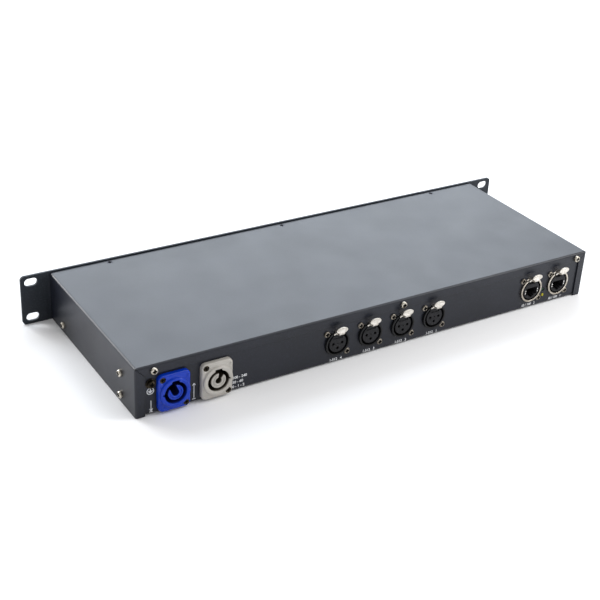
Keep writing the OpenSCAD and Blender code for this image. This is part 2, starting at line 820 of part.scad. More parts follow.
// Housing of a three-pole data socket
module data_socket(i) {
    color("#1d1e20")
        on_rear(data_places[i], signal_z)
            difference() {
                union() {
                    span_y(-sheet - data_block_d, -sheet) rounded(block_w, block_w, 2);
                    bar_y(collar_d, -sheet - eps, collar_h);
                }
                bar_y(collar_bore_d, -plug_depth, collar_h + 1);
                bar_y(insert_base_d + 2 * hole_gap, -sheet - data_block_d - 1, -plug_depth + 1);
                latch_way(collar_bore_d / 2, collar_d / 2, plug_depth);
                block_screw_holes();
            }
}

// Contact carrier of a data socket, with its three holes and the key step at the top
module data_insert(i) {
    front = collar_h - 0.3;
    color("#2a2b2e")
        on_rear(data_places[i], signal_z)
            difference() {
                union() {
                    bar_y(insert_d, -plug_depth - eps, front);
                    bar_y(insert_base_d, -sheet - data_block_d - 1, -plug_depth);
                }
                translate([-insert_step_w / 2, front - insert_step_d, insert_step_z]) cube(insert_step_w);
                bar_y(1.2, front - 0.5, front + 1);
                for (a = contact_angles)
                    translate([contact_r * cos(a), 0, contact_r * sin(a)]) {
                        bar_y(contact_hole_d, -2, front + 1);
                        bar_y(contact_d + 2 * thread_gap, -plug_depth - 4, -1);
                        bar_y(tail_d + 2 * thread_gap, -sheet - data_block_d - 2, -plug_depth);
                    }
            }
}

// Contact sleeves of the data sockets, with their tails down to the main board
module data_contacts() {
    color("#c8a24a")
        for (x = data_places) on_rear(x, signal_z)
            for (a = contact_angles)
                translate([contact_r * cos(a), 0, 0]) {
                    z = contact_r * sin(a);
                    translate([0, 0, z])
                        difference() {
                            bar_y(contact_d, -plug_depth - 4, -1);
                            bar_y(contact_hole_d, -plug_depth + 2, 0);
                        }
                    translate([0, 0, z]) bar_y(tail_d, tail_y, -plug_depth - 4 + eps);
                    translate([0, tail_y, -block_w / 2 - board_t])
                        cylinder(d = tail_d, h = block_w / 2 + board_t + z);
                    translate([0, tail_y, z]) sphere(d = tail_d);
                }
}

// Sprung latch: oval tab, bent stem, shoulder on the collar and the nose that holds the plug
module latch(bore_r, outer_r, front_h) {
    stem_z = bore_r + latch_gap / 2;
    stem_end = -plug_depth + latch_travel + 2 * latch_gap;
    nose = 1.1;
    difference() {
        union() {
            translate([0, tab_reach - tab_t, tab_rise]) along_y(tab_t) oval(tab_w, tab_h);
            translate([-stem_w / 2, tab_reach - tab_t, stem_z]) cube([stem_w, tab_t, tab_rise - stem_z]);
            translate([-stem_w / 2, stem_end, stem_z]) cube([stem_w, tab_reach - stem_end, tab_t]);
            span_y(front_h, front_h + shoulder_t)
                difference() {
                    intersection() {
                        circle(outer_r - 0.1);
                        wedge(outer_r + 4, -shoulder_angle, shoulder_angle);
                    }
                    circle(bore_r + 0.1);
                }
            rotate([90, 0, 90]) linear_extrude(3, center = true)
                polygon([
                    [stem_end, stem_z + eps], [stem_end + 1, stem_z - nose],
                    [stem_end + 2, stem_z - nose], [stem_end + 4, stem_z + eps]
                ]);
        }
        translate([0, tab_reach - 0.25, tab_rise]) along_y(1) oval(tab_w - 2.2, tab_h - 2);
    }
}

module data_latch(i) {
    color("#dcd9cc") on_rear(data_places[i], signal_z) latch(collar_bore_d / 2, collar_d / 2, collar_h);
}

// Housing of a network socket
module network_socket(i) {
    bore = ring_d - 2 * ring_wall;
    color("#1d1e20")
        on_rear(network_places[i], signal_z)
            difference() {
                span_y(-sheet - network_block_d, -sheet) rounded(block_w, block_w, 2);
                bar_y(bore, -plug_depth, 1);
                bar_y(jack_d + 2 * hole_gap, -sheet - network_block_d - 1, -plug_depth + 1);
                latch_way(bore / 2, ring_d / 2, plug_depth);
                block_screw_holes();
            }
}

// Nickel ring of a network socket
module network_ring(i) {
    bore = ring_d - 2 * ring_wall;
    color("#cfcbc0")
        on_rear(network_places[i], signal_z)
            difference() {
                bar_y(ring_d, -sheet, ring_h);
                bar_y(bore, -sheet - 1, ring_h + 1);
                latch_way(bore / 2, ring_d / 2, plug_depth);
            }
}

// The jack's opening: a wide part for the plug and two steps for its catch
module jack_opening() {
    translate([-jack_w / 2, jack_top - jack_h]) square([jack_w, jack_h]);
    translate([-3.1, jack_top - jack_h - 1.3]) square([6.2, jack_h]);
    translate([-1.65, jack_top - jack_h - 2.6]) square([3.3, jack_h]);
}

// Jack body of a network socket
module network_jack(i) {
    front = ring_h - 0.2;
    color("#17181a")
        on_rear(network_places[i], signal_z)
            difference() {
                bar_y(jack_d, -sheet - network_block_d, front);
                span_y(-jack_depth, front + 1) jack_opening();
                translate([-3.4, front - 4, jack_d / 2 - 2.6]) cube([6.8, 6, 6]);
                for (s = [-1, 1], z = finger_z) translate([s * finger_x, 0, z])
                    span_y(-finger_depth, front + 1)
                        square([finger_w + 2 * thread_gap, finger_h + 2 * thread_gap], center = true);
                for (k = [0:7]) translate([(k - 3.5) * wire_pitch, 0, jack_top - wire_way / 2])
                    span_y(-sheet - network_block_d - 1, 1 - jack_depth) square(wire_way, center = true);
            }
}

// One wire: down to the board, forward through the jack and back under itself as the spring contact
module contact_wire() {
    back = -sheet - network_block_d - 2;
    top = jack_top - thread_gap;
    bend = -jack_depth + 10;
    tip = -jack_depth + 1;
    rotate([90, 0, 90]) linear_extrude(wire_w)
        polygon([
            [back, top], [bend, top], [tip, top - 2], [tip, top - 2 + wire_w],
            [bend - 4, top - wire_w], [back + wire_w, top - wire_w],
            [back + wire_w, -block_w / 2], [back, -block_w / 2]
        ]);
}

// Contact wires and side fingers of the network sockets
module network_contacts() {
    color("#c8a24a")
        for (x = network_places) on_rear(x, signal_z) {
            for (k = [0:7]) translate([(k - 3.5) * wire_pitch - wire_w / 2, 0, 0]) contact_wire();
            for (s = [-1, 1], z = finger_z) translate([s * finger_x, 0, z])
                span_y(-finger_depth, ring_h) square([finger_w, finger_h], center = true);
        }
}

module network_latch(i) {
    bore = ring_d - 2 * ring_wall;
    color("#dcd9cc") on_rear(network_places[i], signal_z) latch(bore / 2, ring_d / 2, collar_h);
}

// Pan-head screws of the signal sockets
module socket_screws() {
    color("#a8a395")
        for (x = concat(data_places, network_places), s = [-1, 1])
            on_rear(x + s * socket_screw, signal_z + s * socket_screw)
                pan_screw(screw_d, socket_head_d, 1.5, screw_len);
}

// An indicator lamp with its legs bent down to a board below
module lamp(drop) {
    body = 4.5;
    leg = 0.5;
    leg_reach = 2 * body;
    sphere(d = lamp_d);
    bar_y(lamp_d, -body, 0);
    bar_y(lamp_d + 0.8, -body, 1 - body);
    for (s = [-1, 1]) translate([s * 0.8 - leg / 2, -leg_reach, 0]) {
        translate([0, 0, -leg / 2]) cube([leg, leg_reach - body + leg / 2, leg]);
        translate([0, 0, -drop]) cube([leg, leg, drop]);
    }
}

module link_lamp() {
    color("#1f5a34") on_rear(lamp_x, link_lamp_z) translate([0, -lamp_d / 2 - 0.2, 0])
        lamp(link_lamp_z - main_board_top);
}

module activity_lamp() {
    color("#8a8210") on_rear(lamp_x, activity_lamp_z) translate([0, -lamp_d / 2 + 0.9, 0])
        lamp(activity_lamp_z - main_board_top);
}

// Main board under the signal sockets
module main_board() {
    color("#1f6b3a")
        translate([0, 0, main_board_low])
            linear_extrude(board_t)
                difference() {
                    translate([main_board_x0, main_board_y0])
                        square([main_board_x1 - main_board_x0, main_board_d]);
                    for (p = main_hole_places) translate(p) circle(d = screw_d + 2 * hole_gap);
                    for (x = data_places, a = contact_angles)
                        translate([x + contact_r * cos(a), rear_face + tail_y])
                            circle(d = tail_d + 2 * thread_gap);
                }
}

// Chips on the main board: processor, memory, network transceivers and four output drivers
module board_chips() {
    middle_x = (main_board_x0 + main_board_x1) / 2;
    color("#18191b")
        translate([0, 0, main_board_top]) {
            translate([middle_x + processor_at[0], main_board_y0 + processor_at[1], 0]) cube(processor_size);
            translate([middle_x + memory_at[0], main_board_y0 + memory_at[1], 0]) cube(memory_size);
            for (x = network_places)
                translate([x - transceiver_size[0] / 2, main_board_y0 + chip_row, 0]) cube(transceiver_size);
            for (x = data_places)
                translate([x - driver_size[0] / 2, main_board_y0 + chip_row, 0]) cube(driver_size);
        }
}

// Spacers under both boards and behind the front board
module board_spacers() {
    color("#b9b6a8") {
        for (p = main_hole_places) translate([p[0], p[1], floor_top]) spacer(main_board_low - floor_top);
        for (p = psu_hole_places) translate([p[0], p[1], floor_top]) spacer(psu_spacer_h);
        for (x = front_hole_x, z = front_hole_z)
            translate([x, wall_in, z]) rotate([-90, 0, 0]) spacer(front_board_gap);
    }
}

module spacer(h) {
    difference() {
        cylinder(d = 6, h = h);
        translate([0, 0, -1]) cylinder(d = screw_d + 2 * thread_gap, h = h + 2);
    }
}

// Screws of all the boards
module board_screws() {
    color("#b9b6a8") {
        for (p = main_hole_places) translate([p[0], p[1], main_board_top]) toward("up")
            pan_screw(screw_d, head_d, head_h, board_t + main_board_low - floor_top);
        for (p = psu_hole_places) translate([p[0], p[1], psu_board_low + board_t]) toward("up")
            pan_screw(screw_d, head_d, head_h, board_t + psu_spacer_h);
        for (x = front_hole_x, z = front_hole_z) translate([x, front_board_y + board_t, z])
            pan_screw(screw_d, head_d, head_h, board_t + front_board_gap);
    }
}

// Power supply board
module psu_board() {
    color("#a58a4e")
        translate([0, 0, psu_board_low])
            linear_extrude(board_t)
                difference() {
                    translate([psu_x0, psu_y0]) square([psu_board_w, psu_board_d]);
                    for (p = psu_hole_places) translate(p) circle(d = screw_d + 2 * hole_gap);
                }
}

// Transformer: core halves round a wound bobbin
module psu_transformer() {
    window = [core_size[0] + 2, core_size[1] - 2 * core_wall[0], core_size[2] - 2 * core_wall[1]];
    color("#3a3228")
        translate([psu_x0 + transformer_at[0], psu_y0 + transformer_at[1], psu_top]) {
            difference() {
                cube(core_size);
                translate([-1, core_wall[0], core_wall[1]]) cube(window);
            }
            translate([0.5, core_wall[0] + bobbin_bulge, core_wall[1]])
                cube([core_size[0] - 1, window[1] - 2 * bobbin_bulge, window[2]]);
        }
}

// Bulk capacitors: two lie on their sides and two stand
module psu_capacitors() {
    color("#22252c") {
        for (x = flat_cap_x) translate([psu_x0 + x, psu_y0 + flat_cap_y, psu_top + flat_cap[0] / 2])
            bar_y(flat_cap[0], 0, flat_cap[1]);
        for (x = tall_cap_x) translate([psu_x0 + x, psu_y0 + tall_cap_y, psu_top])
            cylinder(d = tall_cap[0], h = tall_cap[1]);
    }
}

// Finned heat sink of the power switch
module psu_heatsink() {
    pitch = (sink_size[2] - 2 - fin_t) / 4;
    color("#8d9096")
        translate([psu_x0 + sink_at[0], psu_y0 + sink_at[1], psu_top])
            rotate([90, 0, 90])
                linear_extrude(sink_size[0]) {
                    square([sink_back, sink_size[2]]);
                    for (i = [0:4]) translate([0, 2 + i * pitch]) square([sink_size[1], fin_t]);
                }
}

// Fuse: glass body between two metal caps
module fuse() {
    cap = fuse_len / 4;
    color("#d9d9d4")
        translate(fuse_at) rotate([0, 90, 0]) {
            cylinder(d = fuse_d - 0.4, h = fuse_len);
            for (z = [0, fuse_len - cap]) translate([0, 0, z]) cylinder(d = fuse_d, h = cap);
        }
}

// Clips that hold the fuse, open at the top
module fuse_clips() {
    clip_w = 3.5;
    clip_d = fuse_d + 1.2;
    foot = fuse_at[2] - psu_top;
    color("#c8a24a")
        for (x = [1, fuse_len - clip_w - 1]) translate(fuse_at + [x, 0, 0])
            difference() {
                union() {
                    rotate([0, 90, 0]) cylinder(d = clip_d, h = clip_w);
                    translate([0, -clip_d / 2, -foot]) cube([clip_w, clip_d, foot - 2]);
                }
                translate([-1, 0, 0]) rotate([0, 90, 0])
                    cylinder(d = fuse_d + 2 * thread_gap, h = clip_w + 2);
                translate([-1, -1.8, 0]) cube([clip_w + 2, 3.6, clip_d]);
            }
}

// A round lead along straight runs, with ball-shaped bends
module lead(points) {
    for (i = [0:len(points) - 2]) {
        run = points[i + 1] - points[i];
        translate(points[i])
            rotate([0, acos(run[2] / norm(run)), atan2(run[1], run[0])]) cylinder(d = lead_d, h = norm(run));
        if (i > 0) translate(points[i]) sphere(d = lead_d);
    }
}

// Where a lead leaves the sleeve on a blade, beside the blade's middle
function sleeve_exit(x, a, side) = [
    x + blade_r * sin(a) + side * cos(a), tab_end - 2, mains_z + blade_r * cos(a) - side * sin(a)
];

// The loop from an inlet blade to the mirrored outlet blade, run at a given depth
module mains_loop(a, side, depth) {
    from = sleeve_exit(inlet_x, a, side);
    to = sleeve_exit(outlet_x, -a, -side);
    turn = [0, -depth, 0];
    lead([from, from + turn, to + turn, to]);
}

// The feed from an inlet blade down to the power supply board
module mains_feed(a, side) {
    from = sleeve_exit(inlet_x, a, side);
    landing = [from[0], psu_y0 + psu_board_d - 9, from[2]];
    lead([from, landing, [landing[0], landing[1], psu_top]]);
}

// Leads between the sockets and the boards, with their sleeves, and the ribbon to the front board
module inner_leads() {
    color("#31343a") {
        for (x = [inlet_x, outlet_x], a = blade_angles)
            translate([x, tab_end - 2, mains_z]) rotate([0, a, 0])
                difference() {
                    translate([-sleeve_size[0] / 2, -eps, blade_r - sleeve_size[2] / 2]) cube(sleeve_size);
                    translate([-blade_w / 2 - thread_gap, 2 - thread_gap, blade_r - blade_t / 2 - thread_gap])
                        cube([blade_w + 2 * thread_gap, sleeve_size[1], blade_t + 2 * thread_gap]);
                }
        mains_loop(blade_angles[0], lead_side, 6);
        mains_loop(blade_angles[1], lead_side, 10);
        mains_loop(blade_angles[2], -lead_side, 6);
        mains_feed(blade_angles[1], -lead_side);
        mains_feed(blade_angles[2], lead_side);
        for (y = [psu_y0 + 64, psu_y0 + 68])
            lead([
                [psu_x0 + 8, y, psu_top], [psu_x0 + 8, y, psu_top + 6],
                [main_board_x1 - 8, y, psu_top + 6], [main_board_x1 - 8, y, main_board_top]
            ]);
        front_ribbon();
    }
}

// Flat ribbon from the main board to the front board
module front_ribbon() {
    low = main_board_top + 3;
    high = low + 4;
    start = main_board_y0 + 4;
    bend = front_board_y + board_t + 6;
    translate([-ribbon_w / 2, 0, 0]) rotate([90, 0, 90]) linear_extrude(ribbon_w)
        polygon([
            [start, main_board_top], [start, low], [bend, low], [bend, high], [front_board_y + board_t, high],
            [front_board_y + board_t, high + ribbon_t], [bend + ribbon_t, high + ribbon_t],
            [bend + ribbon_t, low + ribbon_t], [start + ribbon_t, low + ribbon_t],
            [start + ribbon_t, main_board_top]
        ]);
}

// Clear window in the rack panel, seated on the tray's front wall
module display_window() {
    color("#9fb2bd")
        translate([window_x, 0, 0]) span_y(-panel_t, seat_y) rounded(window_w, window_h, 1.5);
}

// Display with its metal frame, soldered to the front board
module display_module() {
    color("#2c3a3f")
        translate([window_x, 0, 0])
            difference() {
                span_y(wall_in, front_board_y) rounded(window_w + 4, window_h + 3, 1);
                span_y(wall_in - 1, wall_in + 0.6) rounded(window_w - 8, window_h - 7, 0.5);
            }
}

// Front board that carries the display, the key switches and the lamps
module front_board() {
    color("#1f6b3a")
        span_y(front_board_y, front_board_y + board_t)
            difference() {
                translate([front_hole_x[0] - 5, -front_board_h / 2])
                    square([front_hole_x[1] - front_hole_x[0] + 10, front_board_h]);
                for (x = front_hole_x, z = front_hole_z) translate([x, z]) circle(d = screw_d + 2 * hole_gap);
            }
}

// Key switches behind the menu buttons
module front_switches() {
    color("#18191b")
        for (x = button_places)
            difference() {
                translate([x - switch_w / 2, front_board_y - switch_h, -switch_w / 2])
                    cube([switch_w, switch_h, switch_w]);
                translate([x, front_board_y, 0])
                    bar_y(plunger_d + 2 * latch_gap, -switch_h - 1, -plunger_depth);
            }
}

// Indicator lamps of the front panel
module front_lamps() {
    color("#c9d6cf")
        for (x = front_lamp_places) translate([x, 0, 0]) {
            bar_y(lamp_d, -panel_t, front_board_y);
            translate([0, -panel_t, 0])
                intersection() {
                    sphere(d = lamp_d);
                    span_y(-lamp_d, eps) square(2 * lamp_d, center = true);
                }
        }
}

// A menu button: domed cap, retaining flange and stem into the key switch
module menu_button(i) {
    cap_y = -panel_t - button_proud;
    flange_y = wall_in + 0.3;
    color("#2b2d31")
        translate([button_places[i], 0, 0])
            difference() {
                union() {
                    bar_y(button_d, cap_y + 0.5, flange_y + eps);
                    bar_y(button_d - 1, cap_y, cap_y + 1);
                    bar_y(button_d + 2, flange_y, flange_y + 0.8);
                    bar_y(plunger_d, flange_y, front_board_y - plunger_depth - button_travel - button_gap);
                }
                translate([0, cap_y - 18.6, 0]) sphere(r = 19, $fn = 96);
            }
}

front_panel();
base_tray();
top_cover();
panel_nuts();
top_screws();
lid_screws();
side_screws();
earth_screw();
earth_washer();
earth_nut();
mains_inlet();
mains_outlet();
mains_contacts();
mains_screws();
mains_nuts();
data_socket(0);  // data_socket_1
data_socket(1);  // data_socket_2
data_socket(2);  // data_socket_3
data_socket(3);  // data_socket_4
data_insert(0);  // data_insert_1
data_insert(1);  // data_insert_2
data_insert(2);  // data_insert_3
data_insert(3);  // data_insert_4
data_contacts();
data_latch(0);  // data_latch_1
data_latch(1);  // data_latch_2
data_latch(2);  // data_latch_3
data_latch(3);  // data_latch_4
network_socket(0);  // network_socket_1
network_socket(1);  // network_socket_2
network_ring(0);  // network_ring_1
network_ring(1);  // network_ring_2
network_jack(0);  // network_jack_1
network_jack(1);  // network_jack_2
network_contacts();
network_latch(0);  // network_latch_1
network_latch(1);  // network_latch_2
socket_screws();
link_lamp();
activity_lamp();
main_board();
board_chips();
board_spacers();
board_screws();
psu_board();
psu_transformer();
psu_capacitors();
psu_heatsink();
fuse();
fuse_clips();
inner_leads();
display_window();
display_module();
front_board();
front_switches();
front_lamps();
menu_button(0);  // menu_button_1
menu_button(1);  // menu_button_2
menu_button(2);  // menu_button_3
menu_button(3);  // menu_button_4
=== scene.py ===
"""Looks of a one-unit lighting network node: finishes, fine parts, print, floor, lights and camera."""

import logging
import math
from dataclasses import dataclass
from enum import Enum, unique
from typing import ClassVar, Iterable, Mapping, Optional, Sequence, Union

import bmesh
import bpy
from mathutils import Matrix, Vector

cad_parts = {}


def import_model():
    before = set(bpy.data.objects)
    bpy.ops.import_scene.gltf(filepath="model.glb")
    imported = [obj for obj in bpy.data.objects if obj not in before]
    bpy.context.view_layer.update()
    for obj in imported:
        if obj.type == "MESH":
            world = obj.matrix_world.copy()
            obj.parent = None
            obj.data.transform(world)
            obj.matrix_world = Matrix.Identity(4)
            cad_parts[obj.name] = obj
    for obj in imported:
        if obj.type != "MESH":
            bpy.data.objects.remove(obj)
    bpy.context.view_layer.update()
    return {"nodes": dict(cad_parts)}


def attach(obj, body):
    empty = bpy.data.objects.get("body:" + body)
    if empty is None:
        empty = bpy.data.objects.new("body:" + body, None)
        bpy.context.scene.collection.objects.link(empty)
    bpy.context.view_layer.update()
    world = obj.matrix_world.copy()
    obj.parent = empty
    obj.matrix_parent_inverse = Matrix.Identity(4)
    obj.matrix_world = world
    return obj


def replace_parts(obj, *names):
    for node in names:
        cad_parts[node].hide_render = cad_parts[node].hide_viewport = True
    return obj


Colour = tuple[float, float, float, float]
Flat = tuple[float, float]
Point = tuple[float, float, float]

LOG = logging.getLogger("network_node")
MM = 0.001
BACKWARDS: Point = (0.0, 1.0, 0.0)

# Millimetres: the rear panel's outer face, and the signal sockets' places across it
REAR_FACE = 164.3
DATA_PLACES = (-51.8, -20.2, 11.4, 43.0)
NETWORK_PLACES = (-187.3, -156.9)

# Numbers of the Mix node's two colour inputs and of its colour output
MIX_FIRST, MIX_SECOND, MIX_COLOUR = 6, 7, 2

# Colour of the soft boxes in front, a cool white
COOL_WHITE: Point = (0.83, 0.91, 1.0)


def tone(red: int, green: int, blue: int) -> Colour:
    """Turns a colour in screen values from 0 to 255 into the linear values that shaders use.

    Args:
        red: Screen value of red.
        green: Screen value of green.
        blue: Screen value of blue.

    Returns:
        The linear colour, fully opaque.
    """
    def linear(value: int) -> float:
        """Gives one channel's linear value."""
        part = value / 255
        return part / 12.92 if part <= 0.04045 else ((part + 0.055) / 1.055) ** 2.4

    return (linear(red), linear(green), linear(blue), 1.0)


class Signal:
    """A shader socket that stands in Python expressions, where each operator adds its Math node."""

    def __init__(self, sheet: "ShaderSheet", socket: bpy.types.NodeSocket) -> None:
        """Keeps the socket and the sheet of nodes that it belongs to."""
        self.sheet = sheet
        self.socket = socket

    def _math(self, operation: str, first: "Operand", second: "Operand") -> "Signal":
        """Adds one Math node to the sheet.

        Args:
            operation: Name of the Math node's operation.
            first: Its first value or link.
            second: Its second value or link.

        Returns:
            The node's result.
        """
        return self.sheet.add("ShaderNodeMath", {"operation": operation}, {0: first, 1: second})

    def __add__(self, other: "Operand") -> "Signal":
        """Adds a value or another signal."""
        return self._math("ADD", self, other)

    def __radd__(self, other: "Operand") -> "Signal":
        """Adds this signal to a value."""
        return self._math("ADD", other, self)

    def __sub__(self, other: "Operand") -> "Signal":
        """Takes a value or another signal away."""
        return self._math("SUBTRACT", self, other)

    def __rsub__(self, other: "Operand") -> "Signal":
        """Takes this signal away from a value."""
        return self._math("SUBTRACT", other, self)

    def __mul__(self, other: "Operand") -> "Signal":
        """Multiplies by a value or another signal."""
        return self._math("MULTIPLY", self, other)

    def __rmul__(self, other: "Operand") -> "Signal":
        """Multiplies a value by this signal."""
        return self._math("MULTIPLY", other, self)

    def cap(self, low: float, high: float) -> "Signal":
        """Holds this signal between two values."""
        return self.sheet.add("ShaderNodeClamp", {}, {"Value": self, "Min": low, "Max": high})

    def ramp(self, start: float, end: float) -> "Signal":
        """Gives 0 up to start and 1 from end, with a soft rise between."""
        sockets = {"Value": self, "From Min": start, "From Max": end}
        return self.sheet.add("ShaderNodeMapRange", {"interpolation_type": "SMOOTHSTEP"}, sockets)


Operand = Union[float, Signal]
SocketValue = Union[float, Colour, Point, Signal]
Key = Union[int, str]
Sockets = dict[Key, SocketValue]


class ShaderSheet:
    """The nodes of one material, with the few textures that this object's finishes share."""

    def __init__(self, name: str) -> None:
        """Starts an empty material.

        Args:
            name: Name of the material.
        """
        self.material = bpy.data.materials.new(name)
        self.material.use_nodes = True
        self.material.node_tree.nodes.clear()
        self._place: Optional[Signal] = None

    def add(self, kind: str, settings: Mapping[str, object], sockets: Sockets, output: Key = 0) -> Signal:
        """Adds a node, sets it up first and then fills its sockets.

        Args:
            kind: Type of the node.
            settings: Its properties by name.
            sockets: Values or links by socket name or number.
            output: Name or number of the output that is wanted.

        Returns:
            The wanted output.
        """
        tree = self.material.node_tree
        node = tree.nodes.new(kind)
        for key, value in settings.items():
            setattr(node, key, value)
        for key, value in sockets.items():
            if isinstance(value, Signal):
                tree.links.new(value.socket, node.inputs[key])
            else:
                node.inputs[key].default_value = value
        return Signal(self, node.outputs[output] if len(node.outputs) else None)

    def place(self) -> Signal:
        """Gives the point on the piece.

        Returns:
            The point, in the frame's own metres.
        """
        if self._place is None:
            self._place = self.add("ShaderNodeTexCoord", {}, {}, "Object")
        return self._place

    def axis(self, name: str) -> Signal:
        """Gives one coordinate of the point on the piece, X, Y or Z."""
        return self.add("ShaderNodeSeparateXYZ", {}, {0: self.place()}, name)

    def stretched(self, x: float, y: float, z: float) -> Signal:
        """Gives the point on the piece with each axis scaled."""
        return self.add("ShaderNodeVectorMath", {"operation": "MULTIPLY"}, {0: self.place(), 1: (x, y, z)})

    def noise(self, size: float, detail: float = 2.0, at: Optional[Signal] = None) -> Signal:
        """Adds cloudy noise whose blotches have about the given size.

        Args:
            size: Size of a blotch in metres.
            detail: Number of finer layers.
            at: Point to read it at, the point on the piece if left out.

        Returns:
            A value round 0.5.
        """
        sockets = {"Vector": at or self.place(), "Scale": 1 / size, "Detail": detail}
        return self.add("ShaderNodeTexNoise", {}, sockets)

    def cells(self, size: float) -> Signal:
        """Adds soft round cells of the given size, 0 at their middles."""
        sockets = {"Vector": self.place(), "Scale": 1 / size, "Smoothness": 1.0}
        return self.add("ShaderNodeTexVoronoi", {"feature": "SMOOTH_F1"}, sockets)

    def blend(self, mask: Operand, first: SocketValue, second: SocketValue) -> Signal:
        """Mixes two colours: the first where the mask is 0 and the second where it is 1."""
        sockets: Sockets = {0: mask, MIX_FIRST: first, MIX_SECOND: second}
        return self.add("ShaderNodeMix", {"data_type": "RGBA"}, sockets, MIX_COLOUR)

    def soft_normal(self, radius: float) -> Signal:
        """Gives the surface's direction as if its edges were rounded by a radius."""
        return self.add("ShaderNodeBevel", {"samples": 4}, {"Radius": radius})

    def edges(self, soft: Signal, gain: float = 6.0) -> Signal:
        """Gives a mask of the edges, from how far the rounded direction leans from the flat one.

        Args:
            soft: The rounded direction.
            gain: How fast the mask grows with the lean.

        Returns:
            The mask, from 0 to 1.
        """
        flat = self.add("ShaderNodeNewGeometry", {}, {}, "Normal")
        lean = self.add("ShaderNodeVectorMath", {"operation": "DOT_PRODUCT"}, {0: soft, 1: flat}, "Value")
        return ((1 - lean) * gain).cap(0.0, 1.0)

    def bumped(self, height: Signal, distance: float, under: Optional[Signal] = None) -> Signal:
        """Adds relief on top of the surface.

        Args:
            height: Relief from 0 to 1.
            distance: Real height of the relief in metres.
            under: Direction of the surface underneath, if it isn't the mesh's own.

        Returns:
            The new direction of the surface.
        """
        sockets: Sockets = {"Strength": 1.0, "Distance": distance, "Height": height}
        if under is not None:
            sockets["Normal"] = under
        return self.add("ShaderNodeBump", {}, sockets)

    def finish(self, sockets: Sockets) -> bpy.types.Material:
        """Adds the surface shader and the output.

        Args:
            sockets: Values or links of the shader's sockets.

        Returns:
            The finished material.
        """
        shader = self.add("ShaderNodeBsdfPrincipled", {}, sockets)
        self.add("ShaderNodeOutputMaterial", {}, {"Surface": shader})
        return self.material


def paler(colour: Colour, gain: float, lift: float = 0.0) -> Colour:
    """Gives a lighter tone of a colour, by a gain and a lift on each channel."""
    return tuple(min(1.0, part * gain + lift) for part in colour[:3]) + (1.0,)


@dataclass(frozen=True)
class Finish:
    """A finish with two tones in clouds, a roughness that wanders, fine grain and softened edges, which are
    paler: partly wear and partly a painted highlight.

    Patch, grain, relief and edge are sizes in metres. A band says where a mask starts and where it is full.
    """

    light: Colour
    dark: Colour
    roughness: float
    wander: float
    patch: float
    grain: float
    relief: float
    edge: float = 0.0
    edge_wear_and_highlight: float = 0.0
    gloss: float = 0.5
    coat: float = 0.0
    cloud_band: Flat = (0.32, 0.68)
    wander_share: float = 0.6
    smoothest: float = 0.04
    pale_gain: float = 2.2
    pale_lift: float = 0.02

    def skin(self, sheet: ShaderSheet) -> Signal:
        """Gives the fine relief of the surface."""
        return sheet.noise(self.grain, 2.0)

    def colour(self, sheet: ShaderSheet) -> Signal:
        """Gives the surface's colour before its edges."""
        clouds = sheet.noise(self.patch, 4.0).ramp(*self.cloud_band)
        return sheet.blend(clouds, self.light, self.dark)

    def extra(self, sheet: ShaderSheet) -> Sockets:
        """Gives the sockets that only this kind of finish sets."""
        return {}

    def build(self, name: str) -> bpy.types.Material:
        """Builds the material.

        Args:
            name: Name of the material.

        Returns:
            The material, ready for a piece.
        """
        sheet = ShaderSheet(name)
        colour = self.colour(sheet)
        wander = sheet.noise(self.patch * self.wander_share, 3.0) - 0.5
        rough = self.roughness + wander * (2 * self.wander)
        soft = sheet.soft_normal(self.edge) if self.edge > 0 else None
        # Paler edges: partly wear and partly a painted highlight along the rounded edges
        if soft is not None and self.edge_wear_and_highlight > 0:
            mask = sheet.edges(soft) * self.edge_wear_and_highlight
            colour = sheet.blend(mask, colour, paler(self.light, self.pale_gain, self.pale_lift))
        sockets: Sockets = {
            "Base Color": colour,
            "Roughness": rough.cap(self.smoothest, 1.0),
            "Specular IOR Level": self.gloss,
            "Coat Weight": self.coat,
            "Normal": sheet.bumped(self.skin(sheet), self.relief, soft),
        }
        sockets.update(self.extra(sheet))
        return sheet.finish(sockets)


@dataclass(frozen=True)
class PowderPaint(Finish):
    """Baked powder paint: a satin skin of small soft pebbles with a few finer specks."""

    speck: float = 0.0011
    speck_gain: float = 2.4
    speck_band: Flat = (0.5, 0.72)
    speck_share: float = 0.35
    pebble_relief: float = 0.7
    speck_relief: float = 0.6

    def skin(self, sheet: ShaderSheet) -> Signal:
        """Gives the pebbled relief of the paint."""
        pebbles = (1 - sheet.cells(self.grain)) * self.pebble_relief
        return pebbles + sheet.noise(self.speck, 3.0) * self.speck_relief

    def colour(self, sheet: ShaderSheet) -> Signal:
        """Gives the paint's colour, with fine specks over broad clouds.

        Args:
            sheet: Sheet of nodes of the material.

        Returns:
            The colour.
        """
        base = super().colour(sheet)
        specks = sheet.noise(self.speck, 2.0).ramp(*self.speck_band) * self.speck_share
        return sheet.blend(specks, base, paler(self.light, self.speck_gain))


@dataclass(frozen=True)
class PlatedMetal(Finish):
    """Plated or bare metal with fine drawn scratches and a tarnish that gathers in clouds."""

    drawn: Point = (1.0, 1.0, 1.0)

    def skin(self, sheet: ShaderSheet) -> Signal:
        """Gives the fine scratches of the metal."""
        return sheet.noise(self.grain, 3.0, sheet.stretched(*self.drawn))

    def extra(self, sheet: ShaderSheet) -> Sockets:
        """Makes the surface metal all over."""
        return {"Metallic": 1.0}


@dataclass(frozen=True)
class ClearLens(Finish):
    """Tinted or clear lens resin that lets light in."""

    depth: float = 0.25
    bend: float = 1.5
    coat_roughness: float = 0.05

    def extra(self, sheet: ShaderSheet) -> Sockets:
        """Lets light through the lens."""
        return {"Transmission Weight": self.depth, "IOR": self.bend, "Coat Roughness": self.coat_roughness}


